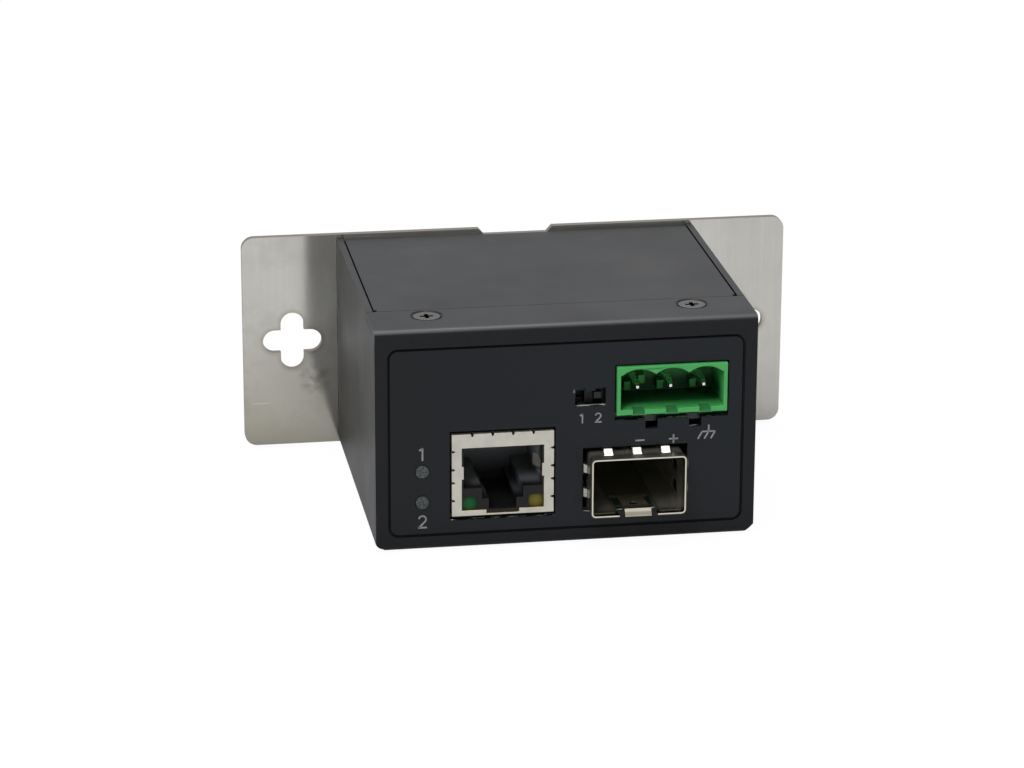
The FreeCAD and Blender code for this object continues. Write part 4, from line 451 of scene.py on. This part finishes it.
def cage_metal():
    """Plated steel, painted darker in the cage's depth as painted shade and lighter at its rim,
    which the light strikes, and less metallic in its depth.
    """
    look = Look("cage_metal")
    cloud = look.noise(2.5, detail=5.0)
    shade = look.spread(cloud, 0.35, 0.65)
    look.give(base_color=look.mix(shade, (0.34, 0.31, 0.225), (0.46, 0.43, 0.335)))
    along, height = look.at("Y"), look.at("Z")
    # Painted light and shade: the base colour stands for the shaded depth, and the rim is painted
    # lighter
    look.paint(look.spread(along, *CAGE_RIM), (0.60, 0.575, 0.49))
    # The latch tongue is painted darker as painted shade, and so is its bent tip below the tip's
    # upper edge
    latch = look.within(look.at("X"), *LATCH_ACROSS, 0.1)
    under = look.spread(height, *LATCH_TOP, 1.0, 0.0)
    behind = look.spread(along, *LATCH_BEND)
    look.paint(look.times(latch, under, behind), (0.36, 0.34, 0.26))
    before = look.spread(along, *LATCH_BEND, 0.75, 0.0)
    tip = look.times(latch, look.within(height, *LATCH_TIP, 0.15), before)
    look.paint(tip, (0.25, 0.235, 0.185))
    # The step behind the rim lies in its shade
    step = look.times(look.forward(), look.spread(along, *CAGE_STEP))
    look.paint(step, (0.10, 0.095, 0.075))
    return look.give(
        metallic=look.spread(along, *CAGE_DEPTH, 1.0, 0.86),
        roughness=look.spread(cloud, 0.3, 0.7, 0.13, 0.19),
        normal=look.bump(look.noise(0.3), 0.004, 0.5),
    )


def moulded(name, dark, light):
    """A look with the skin of moulded plastic, and its flow marks for the roughness."""
    look = Look(name)
    flow = look.noise(4.0, detail=4.0)
    look.give(
        base_color=look.mix(look.spread(flow, 0.3, 0.7), dark, light),
        normal=look.bump(look.noise(0.15, detail=2.0), 0.006, 0.5),
    )
    return look, flow


def plastic(name, dark, light, roughness, level=0.4):
    """A moulded plastic with faint flow marks and a fine skin."""
    look, flow = moulded(name, dark, light)
    return look.give(
        specular_ior_level=level,
        roughness=look.spread(flow, 0.3, 0.7, roughness * 0.88, roughness * 1.12),
    )


def header_plastic():
    """Green moulded plastic, with painted shade darkening it towards the bottom of its cavity."""
    look, _ = moulded("green_plastic", (0.060, 0.37, 0.098), (0.078, 0.42, 0.120))
    along, height = look.at("Y"), look.at("Z")
    # Painted shade darkens the cavity towards its back, less so towards its top
    # The ribs' front faces catch more of the light than the rest of the cavity
    ribs = look.times(look.forward(), look.within(along, *HEADER_RIBS, 0.1))
    deep = look.times(
        look.spread(along, *HEADER_DEPTH),
        look.spread(height, *HEADER_UP, 0.97, 0.2),
        look.spread(ribs, 0.0, 1.0, 1.0, 0.3),
    )
    look.paint(deep, (0.005, 0.055, 0.012))
    # The three ramps in the lower wall's edge lie in shade
    aside = look.absolute(look.minus(look.at("X"), HEADER_MIDDLE))
    nearest = look.lower(aside, look.absolute(look.minus(aside, RAMP_PITCH)))
    ramp = look.times(
        look.spread(nearest, *RAMP_HALF, 1.0, 0.0), look.spread(height, *RAMP_TOP, 0.7, 0.0),
    )
    look.paint(ramp, (0.022, 0.095, 0.036))
    return look.give(specular_ior_level=0.3, roughness=0.42)


def jack_plastic():
    """Black moulded plastic whose deep faces catch the light that falls in from above."""
    look, flow = moulded("jack_plastic", (0.0045, 0.0045, 0.005), (0.0075, 0.0075, 0.008))
    deep = look.times(look.spread(look.at("Y"), *JACK_DEPTH), look.spread(look.at("Z"), *JACK_UP))
    look.paint(deep, (0.33, 0.365, 0.41))
    return look.give(specular_ior_level=0.25, roughness=look.spread(flow, 0.3, 0.7, 0.38, 0.46))


def light_guide(name, dark, light, centre):
    """A jack lamp's clear guide, whose core gathers more light than its rim."""
    look = Look(name)
    core = look.spread(look.square_from(centre), 0.1, 1.4, 1.0, 0.0)
    share = look.plus(look.times(core, 0.75), look.times(look.noise(0.6), 0.3))
    return look.give(
        base_color=look.mix(share, dark, light), roughness=0.5, specular_ior_level=0.15,
        normal=look.bump(look.noise(0.4), 0.01, 0.4),
    )


def metal(name, dark, light, roughness, size, relief=0.004):
    """A plated metal, a little uneven in colour, gloss and surface."""
    look = Look(name)
    cloud = look.noise(size, detail=5.0)
    fine = look.noise(size / 8)
    shade = look.spread(look.plus(look.times(cloud, 0.6), look.times(fine, 0.4)), 0.35, 0.65)
    return look.give(
        base_color=look.mix(shade, dark, light),
        metallic=1.0,
        roughness=look.spread(cloud, 0.3, 0.7, roughness * 0.85, roughness * 1.2),
        normal=look.bump(fine, relief, 0.5),
    )


def collar_metal():
    """The bright spring collar, with painted shade on its front faces, darkest on the outer side
    of its front edge.
    """
    look = metal("collar_metal", (0.78, 0.75, 0.67), (0.90, 0.87, 0.80), 0.22, 1.5)
    front = look.forward()
    # Painted shade on the front faces, and darker painted shade on the outer side of the front
    # edge
    look.paint(look.times(front, 0.6), (0.66, 0.62, 0.50))
    reach = look.reach(COLLAR_MIDDLE, COLLAR_HALF, COLLAR_CORNER)
    edge_shade = look.spread(reach, *COLLAR_EDGE_SHADE)
    return look.paint(look.times(front, edge_shade), (0.07, 0.066, 0.055))


def screw_steel(name, axis, face):
    """Blackened screw steel, with painted shade in the drive's recess below its face."""
    look = metal(name, (0.034, 0.036, 0.034), (0.070, 0.072, 0.068), 0.32, 0.8, relief=0.01)
    # Painted shade in the drive's recess
    deep, shallow = (face - depth for depth in RECESS_DEPTH)
    return look.paint(look.spread(look.at(axis), deep, shallow, 1.0, 0.0), (0.006, 0.006, 0.006))


def frosted(name, dark, light, level=0.5):
    """A light pipe's ground face, speckled grey against the dark behind it."""
    look = Look(name)
    inputs = {"Vector": look.place(), "Scale": 1 / FROST_GRAIN}
    cells = look.node("ShaderNodeTexVoronoi", inputs, feature="F1")
    speckle = look.plus(
        look.times(cells.outputs["Distance"], 0.6), look.times(look.noise(0.3), 0.5),
    )
    return look.give(
        base_color=look.mix(look.spread(speckle, 0.35, 0.75), dark, light),
        roughness=0.4, specular_ior_level=level, normal=look.bump(speckle, 0.02, 0.6),
    )


def board_green():
    """Solder mask, with the tracks under it as a faint regular relief."""
    look = Look("board_green")
    waves = look.node(
        "ShaderNodeTexWave", {"Vector": look.place(), "Scale": 0.22, "Distortion": 6.0},
        wave_type="BANDS", bands_direction="DIAGONAL",
    )
    tracks = look.spread(waves.outputs["Fac"], 0.45, 0.55)
    return look.give(
        base_color=look.mix(tracks, (0.003, 0.014, 0.006), (0.005, 0.022, 0.010)),
        roughness=look.spread(look.noise(6.0), 0.3, 0.7, 0.28, 0.38),
        normal=look.bump(tracks, 0.02, 0.4),
    )


def print_ink():
    """Pale grey ink, a little thin in places."""
    look = Look("print_ink")
    grain = look.noise(0.25, detail=4.0)
    shade = look.spread(grain, 0.3, 0.7)
    return look.give(
        base_color=look.mix(shade, (0.235, 0.240, 0.250), (0.300, 0.305, 0.315)),
        roughness=0.5, specular_ior_level=0.3, normal=look.bump(grain, 0.004, 0.5),
    )


# Each material slot's look
looks = {
    "black_paint": black_paint(),
    "label_film": label_film(),
    "stainless": stainless(),
    "shield_metal": shield_metal(),
    "cage_metal": cage_metal(),
    "contact_gold": metal("contact_gold", (0.80, 0.58, 0.24), (0.90, 0.68, 0.32), 0.22, 1.0),
    "pin_tin": metal("pin_tin", (0.74, 0.74, 0.72), (0.86, 0.86, 0.84), 0.25, 1.0),
    "screw_steel": screw_steel("screw_steel", "Z", LIP_SCREW_FACE),
    "spacer_brass": metal("spacer_brass", (0.60, 0.46, 0.22), (0.72, 0.56, 0.28), 0.3, 1.5),
    "can_metal": metal("can_metal", (0.62, 0.63, 0.64), (0.74, 0.75, 0.76), 0.28, 2.0),
    "black_plastic": plastic(
        "black_plastic", (0.0045, 0.0045, 0.005), (0.0075, 0.0075, 0.008), 0.42, level=0.25,
    ),
    "slider_plastic": plastic(
        "slider_plastic", (0.003, 0.003, 0.0032), (0.005, 0.005, 0.0053), 0.35,
    ),
    "green_plastic": header_plastic(),
    "lamp_green": light_guide(
        "lamp_green", (0.002, 0.012, 0.005), (0.008, 0.10, 0.030), GREEN_GUIDE,
    ),
    "lamp_yellow": light_guide(
        "lamp_yellow", (0.012, 0.011, 0.004), (0.16, 0.14, 0.020), YELLOW_GUIDE,
    ),
    "white_plastic": plastic("white_plastic", (0.60, 0.60, 0.57), (0.68, 0.68, 0.65), 0.4),
    "clear_plastic": frosted(
        "clear_plastic", (0.002, 0.003, 0.003), (0.105, 0.120, 0.115), level=0.3,
    ),
    "lamp_chip": frosted("lamp_chip", (0.45, 0.42, 0.30), (0.62, 0.58, 0.42)),
    "board_green": board_green(),
    "ferrite": plastic("ferrite", (0.028, 0.028, 0.030), (0.045, 0.045, 0.048), 0.6),
    "chip_black": plastic("chip_black", (0.014, 0.014, 0.015), (0.022, 0.022, 0.023), 0.5),
}

# Pieces that share a slot but are finished a little differently
own_looks = {
    "spring_collar": collar_metal(),
    "plate_screws": screw_steel("plate_screw_steel", "Y", PLATE_SCREW_FACE),
    "board_screws": metal(
        "board_screw_steel", (0.30, 0.30, 0.29), (0.42, 0.42, 0.40), 0.3, 0.8,
    ),
    "jack_housing": jack_plastic(),
    "switch_case": plastic(
        "switch_black", (0.003, 0.003, 0.0033), (0.006, 0.006, 0.0064), 0.4, level=0.25,
    ),
}

for subpart in frame["record"]["subparts"]:
    look = own_looks.get(subpart["node"], looks[subpart["material_slot"]])
    slots = nodes[subpart["node"]].material_slots
    for slot in slots:
        slot.material = look.material
    if not slots:
        nodes[subpart["node"]].data.materials.append(look.material)


def soften(name, width, clamped):
    """Weld the node's facets and round its sharp edges by a width in millimetres."""
    weld = nodes[name].modifiers.new("weld", "WELD")
    weld.merge_threshold = 0.0005 * MM
    bevel = nodes[name].modifiers.new("edges", "BEVEL")
    bevel.width = width * MM
    bevel.segments = 2
    bevel.limit_method = "ANGLE"
    bevel.angle_limit = math.radians(30)
    bevel.use_clamp_overlap = clamped
    bevel.harden_normals = True


for name, (width, clamped) in SOFTENED.items():
    soften(name, width, clamped)


def printed(name, outlines, material):
    """Flat closed outlines on the label, each a list of (x, z) in millimetres, as one mesh."""
    points, faces = [], []
    face = (LABEL_FACE - PRINT_THICKNESS) * MM
    sunk = (LABEL_FACE + PRINT_SINK) * MM
    for outline in outlines:
        first, count = len(points), len(outline)
        points += [(x * MM, face, z * MM) for x, z in outline]
        points += [(x * MM, sunk, z * MM) for x, z in outline]
        faces.append(tuple(range(first, first + count)))
        for i in range(count):
            here, following = first + i, first + (i + 1) % count
            faces.append((here, here + count, following + count, following))
    mesh = bpy.data.meshes.new(name)
    mesh.from_pydata(points, [], faces)
    mesh.materials.append(material)
    piece = bpy.data.objects.new(name, mesh)
    bpy.context.scene.collection.objects.link(piece)
    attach(piece, "case")


def stroke(start, end, width):
    """A straight printed stroke between two points."""
    way = Vector((end[0] - start[0], end[1] - start[1])).normalized() * width / 2
    side = Vector((-way.y, way.x))
    a, b = Vector(start), Vector(end)
    return [tuple(a + side), tuple(a - side), tuple(b - side), tuple(b + side)]


def sign(*strokes):
    """A printed sign of straight strokes, each given by its two ends."""
    return [stroke(start, end, SIGN_STROKE) for start, end in strokes]


def figure_1(x, low, height, width):
    """The figure 1, upright at x, with its flag to the left."""
    top = low + height
    flag = (x - height * 0.24, top - height * 0.2)
    return [stroke((x, low), (x, top), width), stroke((x, top), flag, width)]


def figure_2(x, low, height, width):
    """The figure 2: an arc, a slant down to the left, and a foot."""
    half = height * 0.27
    turns = [math.radians(a) for a in range(170, -51, -20)]
    arc = [(x + half * math.cos(a), low + height - half + half * math.sin(a)) for a in turns]
    foot = low + width / 2
    parts = [stroke(p, q, width) for p, q in zip(arc, arc[1:])]
    parts.append(stroke(arc[-1], (x - half, foot), width))
    parts.append(stroke((x - half - width / 2, foot), (x + half + width / 2, foot), width))
    return parts


ink = print_ink()
for name, outlines in {
    "print_lamp_high": figure_1(-21.9, 14.25, 2.0, LAMP_STROKE),
    "print_lamp_low": figure_2(-21.95, 3.45, 2.0, LAMP_STROKE),
    "print_switch_numbers": (
        figure_1(2.35, 18.95, 1.5, SMALL_STROKE) + figure_2(4.75, 18.95, 1.5, SMALL_STROKE)
    ),
    "print_minus": sign(((10.5, 15.8), (11.9, 15.8))),
    "print_plus": sign(((15.65, 15.8), (17.05, 15.8)), ((16.35, 15.1), (16.35, 16.5))),
    "print_ground": sign(
        ((21.75, 16.7), (21.75, 17.75)),
        ((20.75, 16.7), (22.75, 16.7)),
        *(((x, 16.7), (x - 0.65, 15.55)) for x in (20.75, 21.75, 22.75)),
    ),
}.items():
    printed(name, outlines, ink.material)


def make_floor():
    """A pale floor, nearly white to the camera, with the faint shadow the object leaves."""
    bpy.ops.mesh.primitive_plane_add(size=FLOOR_SIZE, location=(0, 0, -FLOOR_DROP))
    floor = bpy.context.object
    floor.name = "floor"
    look = Look("floor")
    look.give(
        base_color=look.mix(look.noise(40.0), (0.60, 0.60, 0.595), (0.64, 0.64, 0.635)),
        roughness=0.9, specular_ior_level=0.0,
    )
    glow = look.node("ShaderNodeEmission", {"Color": WHITE, "Strength": 1.03})
    rays = look.node("ShaderNodeLightPath").outputs
    mirrored = look.higher(rays["Is Glossy Ray"], rays["Is Transmission Ray"])
    share = look.higher(look.times(rays["Is Camera Ray"], 0.93), look.times(mirrored, 0.2))
    surface = look.blend(share, look.shader.outputs["BSDF"], glow.outputs["Emission"])
    look.feed(look.tree.nodes["Material Output"].inputs["Surface"], surface)
    floor.data.materials.append(look.material)


def make_world():
    """A white surround for the camera and for reflections, softer as a light."""
    world = bpy.data.worlds.new("studio")
    bpy.context.scene.world = world
    world.use_nodes = True
    world.node_tree.nodes.clear()
    sky = Tree(world.node_tree)
    rays = sky.node("ShaderNodeLightPath").outputs
    direct = sky.higher(rays["Is Camera Ray"], rays["Is Transmission Ray"])
    seen = sky.higher(direct, rays["Is Glossy Ray"])
    height = sky.axis(sky.node("ShaderNodeTexCoord").outputs["Generated"], "Z")
    strength = sky.spread(height, 0.0, 1.0, 0.10, 0.35)
    soft = sky.node("ShaderNodeBackground", {"Color": WHITE, "Strength": strength})
    white = sky.node("ShaderNodeBackground", {"Color": WHITE, "Strength": 1.0})
    surface = sky.blend(seen, soft.outputs["Background"], white.outputs["Background"])
    sky.node("ShaderNodeOutputWorld", {"Surface": surface})


def add_lamp(name, place, size, power):
    """A square soft box that faces the object."""
    data = bpy.data.lights.new(name, "AREA")
    data.size = size
    data.energy = power
    lamp = bpy.data.objects.new(name, data)
    lamp.location = place
    way = Vector(LAMP_TARGET) - Vector(place)
    lamp.rotation_euler = way.to_track_quat("-Z", "Y").to_euler()
    bpy.context.scene.collection.objects.link(lamp)


def make_camera():
    """The camera, at the place and angle of the photograph's."""
    data = bpy.data.cameras.new("camera")
    data.lens = CAMERA_LENS
    data.sensor_width = 36.0
    data.sensor_fit = "HORIZONTAL"
    data.clip_start, data.clip_end = 0.01, 20.0
    camera = bpy.data.objects.new("camera", data)
    turn = Matrix((CAMERA_RIGHT, CAMERA_UP, [-way for way in CAMERA_FORWARD])).transposed()
    camera.matrix_world = Matrix.Translation(Vector(CAMERA_PLACE) * MM) @ turn.to_4x4()
    bpy.context.scene.collection.objects.link(camera)
    bpy.context.scene.camera = camera


make_floor()
make_world()
for name, (place, size, power) in LAMPS.items():
    add_lamp(name, place, size, power)
make_camera()
bpy.context.scene.view_settings.view_transform = "Standard"
